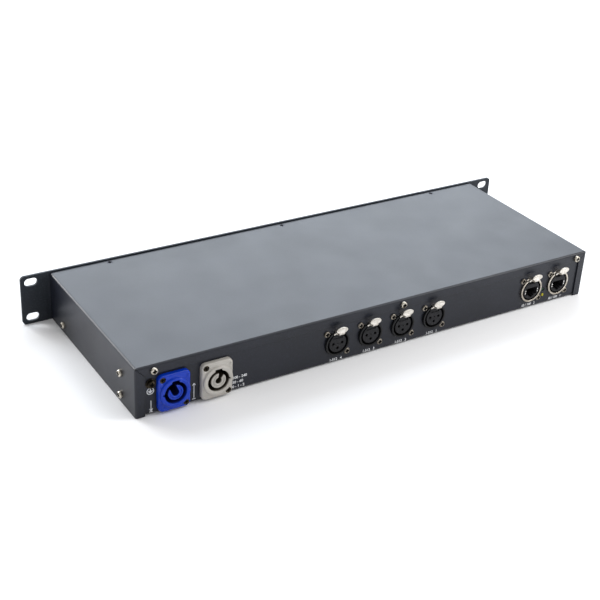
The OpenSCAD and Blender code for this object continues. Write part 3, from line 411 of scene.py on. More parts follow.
@dataclass(frozen=True)
class WellShadePlastic(Finish):
    """Moulded plastic with painted shade: its colour darkens with depth below a socket's mouth, standing in
    for the shade inside the bore.
    """

    # deep is the painted shade tone; mouth and floor are the heights along Y, in metres, where the shade
    # starts and where it is full
    deep: Colour = tone(50, 44, 36)
    mouth: float = 0.1704
    floor: float = 0.1685

    def colour(self, sheet: ShaderSheet) -> Signal:
        """Gives the plastic's colour, darkened down to the deep tone, a painted shade."""
        base = super().colour(sheet)
        return sheet.blend(sheet.axis("Y").ramp(self.mouth, self.floor), base, self.deep)


@dataclass(frozen=True)
class ContactMetal(PlatedMetal):
    """Gold contacts between side fingers of nickel, told apart by distance from the sockets' axes."""

    axes: Flat = tuple(place * MM for place in NETWORK_PLACES)
    reach: float = 0.0056
    blur: float = 0.03
    finger: Colour = (0.8, 0.78, 0.74, 1.0)

    def colour(self, sheet: ShaderSheet) -> Signal:
        """Gives gold near an axis and nickel beyond the reach.

        Args:
            sheet: Sheet of nodes of the material.

        Returns:
            The colour.
        """
        mask: Operand = 1.0
        near, far = (self.reach * (1 - self.blur)) ** 2, (self.reach * (1 + self.blur)) ** 2
        for place in self.axes:
            off = sheet.axis("X") - place
            mask = (off * off).ramp(near, far) * mask
        return sheet.blend(mask, super().colour(sheet), self.finger)


@dataclass(frozen=True)
class Laminate(Finish):
    """Circuit board with tracks that show as lighter lines."""

    track: Colour = (0.05, 0.22, 0.1, 1.0)
    pitch: float = 0.004
    track_band: Flat = (0.7, 0.8)
    track_share: float = 0.8

    def colour(self, sheet: ShaderSheet) -> Signal:
        """Gives the board's colour with its tracks.

        Args:
            sheet: Sheet of nodes of the material.

        Returns:
            The colour.
        """
        base = super().colour(sheet)
        sockets = {"Vector": sheet.place(), "Scale": 1 / self.pitch, "Distortion": 3.0, "Detail": 1.0}
        tracks = sheet.add("ShaderNodeTexWave", {"bands_direction": "DIAGONAL"}, sockets, 1)
        return sheet.blend(tracks.ramp(*self.track_band) * self.track_share, base, self.track)


@unique
class Look(Enum):
    """This object's finishes, by their tones, roughness, wander, patch, grain, relief and edges, whose
    paleness is partly wear and partly painted highlight.
    """

    CASE_PAINT = PowderPaint(tone(23, 26, 36), tone(18, 21, 30), 0.38, 0.05, 0.05, 0.00055, 0.000014,
        0.0004, 0.08, 0.38)
    PANEL_PAINT = PowderPaint(tone(43, 47, 53), tone(37, 41, 47), 0.5, 0.05, 0.04, 0.00055, 0.000012,
        0.0003, 0.1, 0.2)
    SCREW_STEEL = PlatedMetal(tone(214, 208, 196), tone(168, 160, 146), 0.26, 0.1, 0.0015, 0.0003,
        0.000004, 0.0001, 0.25)
    PLATED_STEEL = PlatedMetal(tone(160, 153, 142), tone(104, 97, 88), 0.34, 0.1, 0.0018, 0.0003,
        0.000004, 0.0001, 0.25)
    DARK_STEEL = PlatedMetal(tone(74, 74, 80), tone(48, 48, 53), 0.42, 0.1, 0.0015, 0.0003, 0.000004,
        0.0001, 0.2)
    # Dark screw steel; its strongly paler edges are a painted highlight, a brass-coloured rim
    BRONZED_STEEL = PlatedMetal(tone(76, 68, 55), tone(22, 20, 17), 0.3, 0.1, 0.0014, 0.0003, 0.000005,
        0.0002, 0.8)
    # Painted shade: a near-black matte finish laid in the screws' cross recesses in place of their metal
    RECESS = Finish(tone(30, 28, 26), tone(16, 15, 14), 0.7, 0.06, 0.0008, 0.0002, 0.000006, gloss=0.1)
    BLUE_PLASTIC = Finish(tone(1, 54, 178), tone(1, 48, 166), 0.26, 0.04, 0.012, 0.0004, 0.000004, 0.0006,
        0.12, 0.3, 0.06)
    # Finishes of the mains sockets' bores, with painted shade: they darken with depth to a near-black navy
    # and to a dark brown, and the blue one is a darker copy of the flange's blue
    BLUE_WELL = WellShadePlastic(tone(4, 47, 156), tone(3, 40, 142), 0.5, 0.06, 0.004, 0.0004, 0.000006,
        0.0002, 0.1, 0.2, deep=tone(14, 19, 74))
    GREY_PLASTIC = Finish(tone(182, 178, 171), tone(173, 169, 162), 0.3, 0.04, 0.012, 0.0004, 0.000004,
        0.0006, 0.15, 0.5, 0.08)
    GREY_WELL = WellShadePlastic(tone(184, 180, 172), tone(168, 164, 156), 0.5, 0.06, 0.004, 0.0004, 0.000006,
        0.0002, 0.05, 0.2)
    BLACK_PLASTIC = Finish(tone(17, 17, 20), tone(12, 12, 14), 0.5, 0.08, 0.005, 0.0004, 0.000008, 0.0003,
        0.3, 0.3)
    CARRIER_PLASTIC = Finish(tone(31, 31, 34), tone(25, 25, 28), 0.55, 0.08, 0.004, 0.0003, 0.000008,
        0.0002, 0.3, 0.25)
    NICKEL = PlatedMetal(tone(206, 198, 186), tone(168, 160, 147), 0.24, 0.08, 0.003, 0.0003, 0.000003,
        0.0002, 0.2)
    LATCH_NICKEL = PlatedMetal(tone(232, 227, 219), tone(208, 202, 192), 0.38, 0.06, 0.003, 0.0003,
        0.000004, 0.0002, 0.3)
    CONTACT_METAL = PlatedMetal(tone(214, 176, 96), tone(170, 128, 60), 0.28, 0.08, 0.002, 0.0003,
        0.000003, drawn=(1.0, 0.15, 1.0))
    JACK_METAL = ContactMetal(tone(188, 158, 96), tone(150, 118, 62), 0.3, 0.08, 0.002, 0.0003, 0.000003,
        drawn=(1.0, 0.15, 1.0))
    GREEN_LENS = ClearLens(tone(20, 96, 54), tone(12, 74, 38), 0.16, 0.04, 0.001, 0.0004, 0.000003)
    YELLOW_LENS = ClearLens(tone(206, 196, 14), tone(176, 166, 8), 0.16, 0.04, 0.001, 0.0004, 0.000003)
    BOARD_GREEN = Laminate(tone(26, 96, 52), tone(20, 80, 42), 0.35, 0.06, 0.01, 0.0005, 0.000006)
    BOARD_TAN = Laminate(tone(168, 140, 84), tone(150, 122, 70), 0.5, 0.06, 0.01, 0.0005, 0.000006,
        track=tone(188, 160, 104), pitch=0.009)
    CHIP_BLACK = Finish(tone(34, 34, 37), tone(26, 26, 29), 0.6, 0.06, 0.003, 0.0002, 0.00001)
    FERRITE = Finish(tone(70, 58, 48), tone(52, 42, 35), 0.6, 0.08, 0.004, 0.0004, 0.00002)
    CAPACITOR_SLEEVE = Finish(tone(46, 49, 60), tone(36, 38, 48), 0.3, 0.06, 0.006, 0.0006, 0.000006)
    SINK_ALU = PlatedMetal(tone(186, 188, 192), tone(160, 162, 168), 0.38, 0.08, 0.006, 0.0004, 0.000006,
        drawn=(0.1, 1.0, 1.0))
    FUSE_GLASS = ClearLens(tone(230, 234, 230), tone(214, 220, 216), 0.1, 0.03, 0.004, 0.0008, 0.000002,
        depth=0.7)
    LEAD_SHEATH = Finish(tone(50, 52, 58), tone(40, 42, 47), 0.5, 0.06, 0.006, 0.0005, 0.000008)
    WINDOW_TINT = ClearLens(tone(70, 80, 88), tone(62, 71, 79), 0.08, 0.02, 0.02, 0.002, 0.000002, 0.0002,
        0.0, depth=0.75)
    DISPLAY_DARK = Laminate(tone(30, 42, 48), tone(24, 34, 40), 0.2, 0.04, 0.01, 0.0006, 0.000003,
        track=tone(38, 52, 58), pitch=0.0012)
    BUTTON_PLASTIC = Finish(tone(56, 58, 64), tone(44, 46, 52), 0.55, 0.06, 0.004, 0.0003, 0.00001,
        0.0003, 0.2)
    LAMP_CLEAR = ClearLens(tone(214, 222, 218), tone(196, 206, 202), 0.12, 0.03, 0.002, 0.0006, 0.000002,
        depth=0.5)
    PRINT_WHITE = Finish(tone(246, 247, 249), tone(228, 230, 233), 0.55, 0.06, 0.0012, 0.0002, 0.000004)
    FLOOR_PAPER = Finish(tone(249, 249, 250), tone(247, 247, 248), 0.85, 0.04, 0.6, 0.004, 0.00002,
        gloss=0.1)


# Table of finishes, each with the imported nodes that take it
LookTable = Sequence[tuple[Look, Sequence[str]]]


class Workshop:
    """What every sub-assembly needs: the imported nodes, the built finishes and a way to make pieces."""

    SHARP = math.radians(35.0)

    def __init__(self, nodes: Mapping[str, bpy.types.Object]) -> None:
        """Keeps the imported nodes, with no finish built yet."""
        self.nodes = nodes
        self._built: dict[Look, bpy.types.Material] = {}

    def material(self, finish: Look) -> bpy.types.Material:
        """Gives a finish's material, built on its first use.

        Args:
            finish: The finish.

        Returns:
            Its material.
        """
        if finish not in self._built:
            self._built[finish] = finish.value.build(finish.name.lower())
        return self._built[finish]

    def dress(self, node: str, finish: Look) -> None:
        """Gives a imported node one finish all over.

        Args:
            node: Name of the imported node.
            finish: Its finish.
        """
        material = self.material(finish)
        piece = self.nodes[node]
        if not piece.material_slots:
            piece.data.materials.append(material)
        for place in piece.material_slots:
            place.material = material
        LOG.info("%s: %s", node, finish.name.lower())

    def piece(
        self, name: str, mesh: bpy.types.Mesh, finish: Look, body: str, deep: Optional[Look] = None
    ) -> bpy.types.Object:
        """Puts a mesh in the scene as a piece that rides on a body.

        Args:
            name: Name of the piece.
            mesh: Its mesh, in the frame's own metres.
            finish: Its finish.
            body: Body that it rides on.
            deep: Finish of the faces in its recesses, a painted shade, if it has any.

        Returns:
            The new object.
        """
        piece = bpy.data.objects.new(name, mesh)
        bpy.context.scene.collection.objects.link(piece)
        for look in (finish, deep):
            if look is not None:
                mesh.materials.append(self.material(look))
        mesh.shade_smooth()
        mesh.set_sharp_from_angle(angle=self.SHARP)
        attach(piece, body)
        LOG.info("%s: %d faces, on %s", name, len(mesh.polygons), body)
        return piece

    def stand_in(
        self, name: str, mesh: bpy.types.Mesh, finish: Look, body: str, node: str,
        deep: Optional[Look] = None,
    ) -> None:
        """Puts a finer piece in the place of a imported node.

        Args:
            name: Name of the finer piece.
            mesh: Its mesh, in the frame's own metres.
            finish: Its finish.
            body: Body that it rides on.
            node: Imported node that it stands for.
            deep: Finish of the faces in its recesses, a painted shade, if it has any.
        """
        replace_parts(self.piece(name, mesh, finish, body, deep), node)

    def screws(
        self, name: str, screw: "Screw", spots: Iterable[tuple[Point, Point]], node: str, finish: Look
    ) -> None:
        """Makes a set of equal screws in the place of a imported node.

        Args:
            name: Name of the set.
            screw: The screw.
            spots: Place and direction of each screw, in millimetres.
            node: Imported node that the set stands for.
            finish: Finish of the screws.
        """
        shaper = Shaper()
        for place, facing in spots:
            shaper.move(place, facing)
            screw.add_to(shaper)
        # The screws' recesses take the painted shade finish
        self.stand_in(name, shaper.done(name), finish, "chassis", node, Look.RECESS)


class Shaper:
    """Builds a mesh from rings of points, in millimetres round a movable place, with Y pointing outwards."""

    def __init__(self) -> None:
        """Starts an empty mesh at the frame's origin."""
        self.mesh = bmesh.new()
        self._spot = Matrix.Scale(MM, 4)

    def move(self, place: Point, facing: Point = BACKWARDS) -> None:
        """Moves the place where the next points go.

        Args:
            place: New place in millimetres, in the frame.
            facing: Direction that the points' Y axis takes there.
        """
        turn = Vector(BACKWARDS).rotation_difference(Vector(facing)).to_matrix().to_4x4()
        self._spot = Matrix.Translation(Vector(place) * MM) @ turn @ Matrix.Scale(MM, 4)

    def ring(self, points: Iterable[Point]) -> list[bmesh.types.BMVert]:
        """Adds points, which the other methods join."""
        return [self.mesh.verts.new(self._spot @ Vector(point)) for point in points]

    def skin(
        self, rings: Sequence[Sequence[Point]], start: bool = True, end: bool = True, deep: Sequence[int] = ()
    ) -> None:
        """Joins closed rings of equally many points, one to the next.

        Args:
            rings: The rings in order.
            start: Whether the first ring is filled.
            end: Whether the last ring is filled.
            deep: Bands with the painted shade finish for recesses; the last ring's filling counts as one
                more.
        """
        made = [self.ring(points) for points in rings]
        for band, (low, high) in enumerate(zip(made, made[1:])):
            for index, corner in enumerate(low):
                beside = (index + 1) % len(low)
                face = self.mesh.faces.new((corner, low[beside], high[beside], high[index]))
                face.material_index = int(band in deep)
        if start:
            self.mesh.faces.new(made[0])
        if end:
            self.mesh.faces.new(made[-1]).material_index = int(len(made) - 1 in deep)

    def plate(self, outline: Sequence[Flat], low: float, high: float) -> None:
        """Adds a plate with an outline in X and Z between two heights along Y."""
        self.skin([[(x, y, z) for x, z in outline] for y in (low, high)])

    def bar(self, side: Sequence[Flat], width: float) -> None:
        """Adds a bar of a width along X, with a side outline in Y and Z."""
        self.skin([[(x, y, z) for y, z in side] for x in (-width / 2, width / 2)])

    def done(self, name: str) -> bpy.types.Mesh:
        """Turns the faces outwards and hands the mesh over.

        Args:
            name: Name of the mesh.

        Returns:
            The mesh, in metres.
        """
        bmesh.ops.recalc_face_normals(self.mesh, faces=self.mesh.faces)
        mesh = bpy.data.meshes.new(name)
        self.mesh.to_mesh(mesh)
        self.mesh.free()
        return mesh


def carved(mesh: bpy.types.Mesh, cutter: bpy.types.Mesh) -> bpy.types.Mesh:
    """Cuts one closed mesh out of another.

    Args:
        mesh: Mesh that is cut; it is used up.
        cutter: Mesh that cuts; it is used up.

    Returns:
        The mesh that is left.
    """
    holders = [bpy.data.objects.new("carving", part) for part in (mesh, cutter)]
    for holder in holders:
        bpy.context.scene.collection.objects.link(holder)
    cut = holders[0].modifiers.new("cut", "BOOLEAN")
    cut.operation, cut.solver, cut.object = "DIFFERENCE", "EXACT", holders[1]
    left = bpy.data.meshes.new_from_object(holders[0].evaluated_get(bpy.context.evaluated_depsgraph_get()))
    for holder in holders:
        bpy.data.objects.remove(holder)
    return left


def turns_of(count: int) -> list[float]:
    """Gives even turns round a full circle."""
    return [math.tau * index / count for index in range(count)]


def polar(radius: float, turn: float, y: float) -> Point:
    """Gives the point at a distance from the Y axis, a turn and a height."""
    return (radius * math.cos(turn), y, radius * math.sin(turn))


def circle(radius: float, y: float, count: int = 48) -> list[Point]:
    """Gives the points of a circle round the Y axis at one height."""
    return [polar(radius, turn, y) for turn in turns_of(count)]


def ellipse(width: float, height: float, inset: float, y: float, rise: float, count: int = 56) -> list[Point]:
    """Gives the points of an upright ellipse, drawn in evenly, with its middle at a height above the axis."""
    across, up = width / 2 - inset, height / 2 - inset
    return [(across * math.cos(turn), y, rise + up * math.sin(turn)) for turn in turns_of(count)]


def quarter(*steps: float) -> list[Flat]:
    """Gives the cosine and sine at steps of degrees along a quarter round."""
    return [(math.cos(math.radians(step)), math.sin(math.radians(step))) for step in steps]


class HeadStyle(Enum):
    """Kinds of screw head."""

    PAN = "pan"
    SUNK = "sunk"


@dataclass(frozen=True)
class Screw:
    """A screw with a cross recess that tapers down into its head; sizes in millimetres."""

    style: HeadStyle
    shank: float = 3.0
    head: float = 5.8
    rise: float = 2.4
    length: float = 8.0
    cross_share: float = 0.33
    arm: float = 0.72
    depth: float = 1.7
    shoulder: float = 0.4
    tip: float = 0.3
    tip_length: float = 0.4
    edge: float = 0.12
    sunk_edge: float = 0.1
    sunk_rim: float = 0.14
    mouth: float = 0.1
    arm_mouth: float = 0.06
    taper: float = 0.62
    arm_taper: float = 0.7
    pit: float = 0.2
    pit_depth: float = 0.25
    flattest: float = 0.01
    count: int = 48

    def cross(self, reach: float, half: float, y: float) -> list[Point]:
        """Gives the outline of a cross with four arms.

        Args:
            reach: Distance from the middle to an arm's end.
            half: Half an arm's width.
            y: Height of the outline.

        Returns:
            The outline's points.
        """
        points = []
        for turn in turns_of(self.count):
            lean = abs((turn + math.pi / 4) % (math.pi / 2) - math.pi / 4)
            end = reach / math.cos(lean)
            side = half / math.sin(lean) if lean > self.flattest else end
            points.append(polar(min(end, side), turn, y))
        return points

    def add_to(self, shaper: Shaper) -> None:
        """Adds the screw to a mesh, with its seat or sunk face at the shaper's place.

        Args:
            shaper: Mesh that takes the screw.
        """
        radius, neck, reach = self.head / 2, self.shank / 2, self.head * self.cross_share
        rings = [circle(neck - self.tip, -self.length), circle(neck, self.tip_length - self.length)]
        if self.style is HeadStyle.PAN:
            top, shoulder, crown = self.rise, self.shoulder * self.rise, reach + self.edge
            rings += [circle(neck, 0.0), circle(radius - self.edge, 0.0), circle(radius, self.edge)]
            rings += [circle(crown + (radius - crown) * across, shoulder + (top - shoulder) * up)
                      for across, up in quarter(0, 18, 36, 54, 72, 90)]
        else:
            top = 0.0
            rings += [circle(neck, neck - radius), circle(radius, -self.sunk_rim),
                      circle(radius - self.sunk_edge, 0.0)]
        recess = len(rings)
        rings += [
            self.cross(reach, self.arm, top),
            self.cross(reach - self.mouth, self.arm - self.arm_mouth, top - self.edge),
            self.cross(reach * self.taper, self.arm * self.arm_taper, top - self.depth),
            circle(self.pit, top - self.depth - self.pit_depth),
        ]
        # The recess's bands take the second finish, a painted shade
        shaper.skin(rings, deep=range(recess, len(rings)))


@dataclass(frozen=True)
class Latch:
    """A sprung push latch: dished oval tab, bent strip, shoulder on the collar and nose for the plug.

    The tab's profile gives how far each ring is drawn in and how far it lies below the face. The nose's
    profile gives how far each corner lies from the root and how far it drops. Sizes are in millimetres.
    """

    bore: float
    rim: float
    front: float = 2.0
    tab_width: float = 10.4
    tab_height: float = 5.5
    tab_rise: float = 14.4
    tab_profile: tuple[Flat, ...] = (
        (0.9, 1.0), (0.25, 1.0), (0.06, 0.92), (0.0, 0.75), (0.0, 0.3), (0.08, 0.1),
        (0.28, 0.0), (0.62, 0.0), (0.85, 0.08), (1.15, 0.22), (1.7, 0.3), (2.5, 0.33),
    )
    reach: float = 7.1
    sheet: float = 1.0
    strip: float = 5.0
    strip_gap: float = 0.15
    tab_gap: float = 0.1
    tab_lap: float = 0.9
    root: float = -11.4
    bend: float = 1.6
    shoulder: float = 27.0
    shoulder_steps: int = 8
    shoulder_sheet: float = 0.8
    shoulder_play: float = 0.1
    nose_profile: tuple[Flat, ...] = ((0.0, 0.0), (1.0, 1.1), (2.0, 1.1), (4.0, 0.0))
    nose_gap: float = 0.2
    nose_width: float = 3.0

    def add_tab(self, shaper: Shaper) -> None:
        """Adds the oval tab, with a rounded rim and a shallow dish."""
        shaper.skin([ellipse(self.tab_width, self.tab_height, inset, self.reach - drop, self.tab_rise)
                     for inset, drop in self.tab_profile])

    def add_strip(self, shaper: Shaper) -> None:
        """Adds the strip that runs back into the socket and bends up to the tab.

        Args:
            shaper: Mesh that takes the strip.
        """
        low, back = self.bore + self.strip_gap, self.reach - self.tab_gap
        inner, thin = self.bend - self.sheet + self.strip_gap, self.sheet - self.strip_gap
        top = self.tab_rise - self.tab_height / 2 + self.tab_lap
        outside, inside = (
            [(back - self.bend + radius * up, low + self.bend - radius * across)
             for across, up in quarter(*range(0, 91, 15))]
            for radius in (self.bend, inner)
        )
        shaper.bar([(self.root, low), *outside, (back, top), (back - thin, top), *reversed(inside),
                    (self.root, low + thin)], self.strip)

    def add_shoulder(self, shaper: Shaper) -> None:
        """Adds the curved shoulder that lies on the collar's rim.

        Args:
            shaper: Mesh that takes the shoulder.
        """
        turns = [math.radians(90 - self.shoulder + self.shoulder * step / self.shoulder_steps)
                 for step in range(2 * self.shoulder_steps + 1)]
        outer, inner = self.rim - self.shoulder_play, self.bore + self.shoulder_play
        outline = [(outer * math.cos(turn), outer * math.sin(turn)) for turn in turns]
        outline += [(inner * math.cos(turn), inner * math.sin(turn)) for turn in reversed(turns)]
        shaper.plate(outline, self.front, self.front + self.shoulder_sheet)

    def add_nose(self, shaper: Shaper) -> None:
        """Adds the nose that drops into the plug's notch."""
        low = self.bore + self.nose_gap
        shaper.bar([(self.root + back, low - drop) for back, drop in self.nose_profile], self.nose_width)

    def add_to(self, shaper: Shaper) -> None:
        """Adds the whole latch round the socket's axis at the shaper's place."""
        for add in (self.add_tab, self.add_strip, self.add_shoulder, self.add_nose):
            add(shaper)


@dataclass
class Assembly:
    """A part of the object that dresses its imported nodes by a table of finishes."""

    shop: Workshop
    looks: ClassVar[LookTable] = ()

    def dress(self) -> None:
        """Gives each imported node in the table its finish."""
        for finish, nodes in self.looks:
            for node in nodes:
                self.shop.dress(node, finish)


def numbered(stem: str, count: int) -> list[str]:
    """Gives the names of nodes that are numbered from 1."""
    return [f"{stem}_{number}" for number in range(1, count + 1)]


@dataclass
class Case(Assembly):
    """Rack panel, tray, cover and the screws and nuts that hold them; sizes in millimetres."""

    side_x: float = 216.5
    top_z: float = 20.9
    lip_y: float = 165.5
    lid_screws: tuple[float, ...] = (-204.8, -18.5, 201.8)
    lid_screw_z: float = 16.3
    side_screws: tuple[Flat, ...] = ((140.2, 4.2), (140.2, -14.5), (27.2, -13.8))
    top_screws: tuple[float, ...] = (-165.5, 0.0, 165.5)
    top_screw_y: float = 4.0
    earth: Point = (204.0, 165.1, 5.3)
    pan: Screw = Screw(HeadStyle.PAN)
    sunk: Screw = Screw(HeadStyle.SUNK, head=5.2, length=6.0, depth=1.1)
    earth_pan: Screw = Screw(HeadStyle.PAN, shank=4.0, head=6.4, length=10.0)
    looks: ClassVar[LookTable] = (
        (Look.PANEL_PAINT, ("front_panel",)),
        (Look.CASE_PAINT, ("base_tray", "top_cover")),
        (Look.PLATED_STEEL, ("panel_nuts", "earth_nut")),
        (Look.BRONZED_STEEL, ("earth_washer",)),
    )

    def fasten(self) -> None:
        """Makes the case's screws and the earth screw."""
        lid = [((x, self.lip_y, self.lid_screw_z), BACKWARDS) for x in self.lid_screws]
        self.shop.screws("lid_screw_set", self.pan, lid, "lid_screws", Look.SCREW_STEEL)
        sides = [((side * self.side_x, y, z), (side, 0.0, 0.0))
                 for side in (1.0, -1.0) for y, z in self.side_screws]
        self.shop.screws("side_screw_set", self.pan, sides, "side_screws", Look.SCREW_STEEL)
        top = [((x, self.top_screw_y, self.top_z), (0.0, 0.0, 1.0)) for x in self.top_screws]
        self.shop.screws("top_screw_set", self.sunk, top, "top_screws", Look.DARK_STEEL)
        earth = [(self.earth, BACKWARDS)]
        self.shop.screws("earth_screw_head", self.earth_pan, earth, "earth_screw", Look.BRONZED_STEEL)


@dataclass(frozen=True)
class MainsShell:
    """A locking mains socket: soft-edged flange, collar, keyed bore and slotted core; in millimetres."""

    side: int
    hole: float
    neck: float
    mouth: float
    width: float = 26.0
    height: float = 31.0
    corner: float = 4.0
    edge: float = 1.6
    flange: float = 4.3
    collar: float = 12.2
    collar_rise: float = 2.0
    collar_edge: float = 0.9
    bore: float = 9.0
    bore_depth: float = 14.0
    notch: float = 3.0
    side_notch: float = 0.8
    notch_reach: float = 10.2
    body: float = 11.7
    depth: float = 26.0
    core: float = 6.15
    core_drop: float = 0.4
    groove_inset: float = 1.2
    groove_depth: float = 0.5
    key_angle: float = 24.0
    across: float = 9.5
    up: float = 12.0
    head: float = 2.78
    shank: float = 1.65
    mark: float = 1.45
    mark_depth: float = 0.25
    count: int = 180
    core_steps: int = 56
    body_edge: float = 0.5
    back_edge: float = 0.2
    foot: float = 0.3
    foot_middle: float = 0.08
    mouth_edge: float = 0.35
    mouth_middle: float = 0.1
    core_back: float = 0.4
    core_edge: float = 0.3
    groove_wall: float = 0.1
    cut_back: float = 0.6
    cut_over: float = 1.0
    least: float = 1e-6

    @property
    def front(self) -> float:
        """Height of the collar's top above the panel."""
        return self.flange + self.collar_rise

    def round(self, radius: float, y: float) -> list[Point]:
        """Gives a round ring with as many points as the others."""
        return circle(radius, y, self.count)

    def rim(self, inset: float, y: float) -> list[Point]:
        """Gives the flange's outline, a rectangle with round corners, drawn in evenly.

        Args:
            inset: How far it is drawn in.
            y: Height of the ring.

        Returns:
            The ring's points.
        """
        half, tall, bend = self.width / 2 - inset, self.height / 2 - inset, self.corner - inset
        wide, high = half - bend, tall - bend
        points = []
        for turn in turns_of(self.count):
            across, up = abs(math.cos(turn)), abs(math.sin(turn))
            reach = min(half / max(across, self.least), tall / max(up, self.least))
            if across * reach > wide and up * reach > high:
                along = across * wide + up * high
                reach = along + math.sqrt(along ** 2 - wide ** 2 - high ** 2 + bend ** 2)
            points.append(polar(reach, turn, y))
        return points

    def well(self, grow: float, y: float) -> list[Point]:
        """Gives the bore's outline: round, with the wide key notch at the top and the small one at its side.

        Args:
            grow: How far it is widened.
            y: Height of the ring.

        Returns:
            The ring's points.
        """
        points = []
        end = self.notch_reach + grow
        for turn in turns_of(self.count):
            across, up = math.cos(turn) * self.side, math.sin(turn)
            reach = self.bore + grow
            if up > 0:
                reach = max(reach, min(end / up, (self.notch + grow) / max(abs(across), self.least)))
            if across > 0:
                reach = max(reach, min(end / across, (self.side_notch + grow) / max(abs(up), self.least)))
            points.append(polar(reach, turn, y))
        return points

    def core_ring(self, inset: float, y: float) -> list[Point]:
        """Gives the core's outline, a disc with a slot from its middle hole to its rim, drawn in evenly.

        Args:
            inset: How far it is drawn in.
            y: Height of the ring.

        Returns:
            The ring's points.
        """
        rim, hole, steps = self.core - inset, self.hole + inset, self.core_steps
        way = math.pi / 2 - self.side * math.radians(self.key_angle)
        mouth = math.asin((self.mouth + inset) / rim)
        neck = math.asin(min(1.0, (self.neck + inset) / hole))
        turns = [(rim, way + mouth + (math.tau - 2 * mouth) * step / steps) for step in range(steps + 1)]
        turns += [(hole, way + neck + (math.tau - 2 * neck) * step / steps) for step in range(steps, -1, -1)]
        return [polar(radius, turn, y) for radius, turn in turns]

    def shell(self) -> list[list[Point]]:
        """Gives the rings of the shell from the back of the body to the mouth of the bore.

        Returns:
            The rings, in order.
        """
        flange, front, foot, middle = self.flange, self.front, self.foot, self.foot_middle
        rings = [
            self.round(self.body - self.body_edge, -self.depth),
            self.round(self.body, self.body_edge - self.depth),
            self.round(self.body, 0.0), self.rim(self.back_edge, 0.0), self.rim(0.0, self.back_edge),
        ]
        rings += [self.rim(self.edge * (1 - across), flange - self.edge * (1 - up))
                  for across, up in quarter(0, 20, 40, 60, 80, 90)]
        rings += [self.round(self.collar + foot, flange), self.round(self.collar + middle, flange + middle),
                  self.round(self.collar, flange + foot)]
        crown = self.collar_edge
        rings += [self.round(self.collar - crown * (1 - across), front - crown * (1 - up))
                  for across, up in quarter(0, 25, 50, 75, 90)]
        rings += [self.well(self.mouth_edge, front), self.well(self.mouth_middle, front - self.mouth_middle)]
        return rings

    def holes(self, shaper: Shaper, place: Point) -> None:
        """Adds the cutters of the flange's two countersunk holes and of the shallow mould mark.

        Args:
            shaper: Mesh that takes the cutters.
            place: Where the socket's axis meets the panel's face.
        """
        over = self.flange + self.cut_over
        cone = self.flange - self.head + self.shank
        for side in (1, -1):
            shaper.move((place[0] + side * self.across, place[1], place[2] + side * self.up))
            shaper.skin([circle(self.shank, -self.cut_back), circle(self.shank, cone),
                         circle(self.head, self.flange), circle(self.head, over)])
        shaper.move((place[0] - self.across, place[1], place[2] + self.up))
        shaper.skin([circle(self.mark, self.flange - self.mark_depth), circle(self.mark, over)])

    def build(self, name: str, place: Point) -> bpy.types.Mesh:
        """Builds the socket at its place on the panel.

        Args:
            name: Name of the mesh.
            place: Where its axis meets the panel's face.

        Returns:
            The mesh, in metres.
        """
        solid, cutter, whole = Shaper(), Shaper(), Shaper()
        solid.move(place)
        rings = self.shell()
        mouth = len(rings)
        rings += [self.well(0.0, self.front - self.mouth_edge), self.well(0.0, -self.bore_depth)]
        # The bore's bands take the second finish, the bore's painted shade
        solid.skin(rings, deep=(mouth - 1, mouth, mouth + 1))
        self.holes(cutter, place)
        whole.mesh.from_mesh(carved(solid.done(name), cutter.done("cutter")))
        whole.move(place)
        top, inset = self.front - self.core_drop, self.groove_inset
        # The core's back band takes the same painted shade finish
        whole.skin([
            self.core_ring(0.0, -self.bore_depth - self.core_back), self.core_ring(0.0, top - self.core_edge),
            self.core_ring(self.core_edge, top), self.core_ring(inset, top),
            self.core_ring(inset + self.groove_wall, top - self.groove_depth),
        ], deep=(0,))
        return whole.done(name)


@dataclass
class MainsSockets(Assembly):
    """The blue inlet and the light grey outlet; sizes in millimetres."""

    places: Flat = (186.4, 151.1)
    height: float = -4.6
    face_y: float = REAR_FACE
    inlet: MainsShell = MainsShell(1, hole=2.8, neck=2.8, mouth=2.8)
    outlet: MainsShell = MainsShell(-1, hole=2.6, neck=1.36, mouth=2.24)
    screw: Screw = Screw(HeadStyle.SUNK, head=5.0, length=8.5, depth=1.2, cross_share=0.34, arm=0.5)
    sink: float = 0.35
    looks: ClassVar[LookTable] = (
        (Look.CONTACT_METAL, ("mains_contacts",)), (Look.PLATED_STEEL, ("mains_nuts",)),
    )

    def mould(self) -> None:
        """Makes both sockets."""
        # Each socket's bore takes its finish with painted shade
        kinds = (("mains_inlet", self.inlet, Look.BLUE_PLASTIC, Look.BLUE_WELL),
                 ("mains_outlet", self.outlet, Look.GREY_PLASTIC, Look.GREY_WELL))
        for x, (node, shell, finish, deep) in zip(self.places, kinds):
            name = f"{node}_moulded"
            mesh = shell.build(name, (x, self.face_y, self.height))
            self.shop.stand_in(name, mesh, finish, "chassis", node, deep)

    def fasten(self) -> None:
        """Makes the four sunk screws of the flanges."""
        face = self.face_y + self.inlet.flange - self.sink
        spots = [((x + side * self.inlet.across, face, self.height + side * self.inlet.up), BACKWARDS)
                 for x in self.places for side in (1, -1)]
        self.shop.screws("mains_screw_set", self.screw, spots, "mains_screws", Look.BRONZED_STEEL)


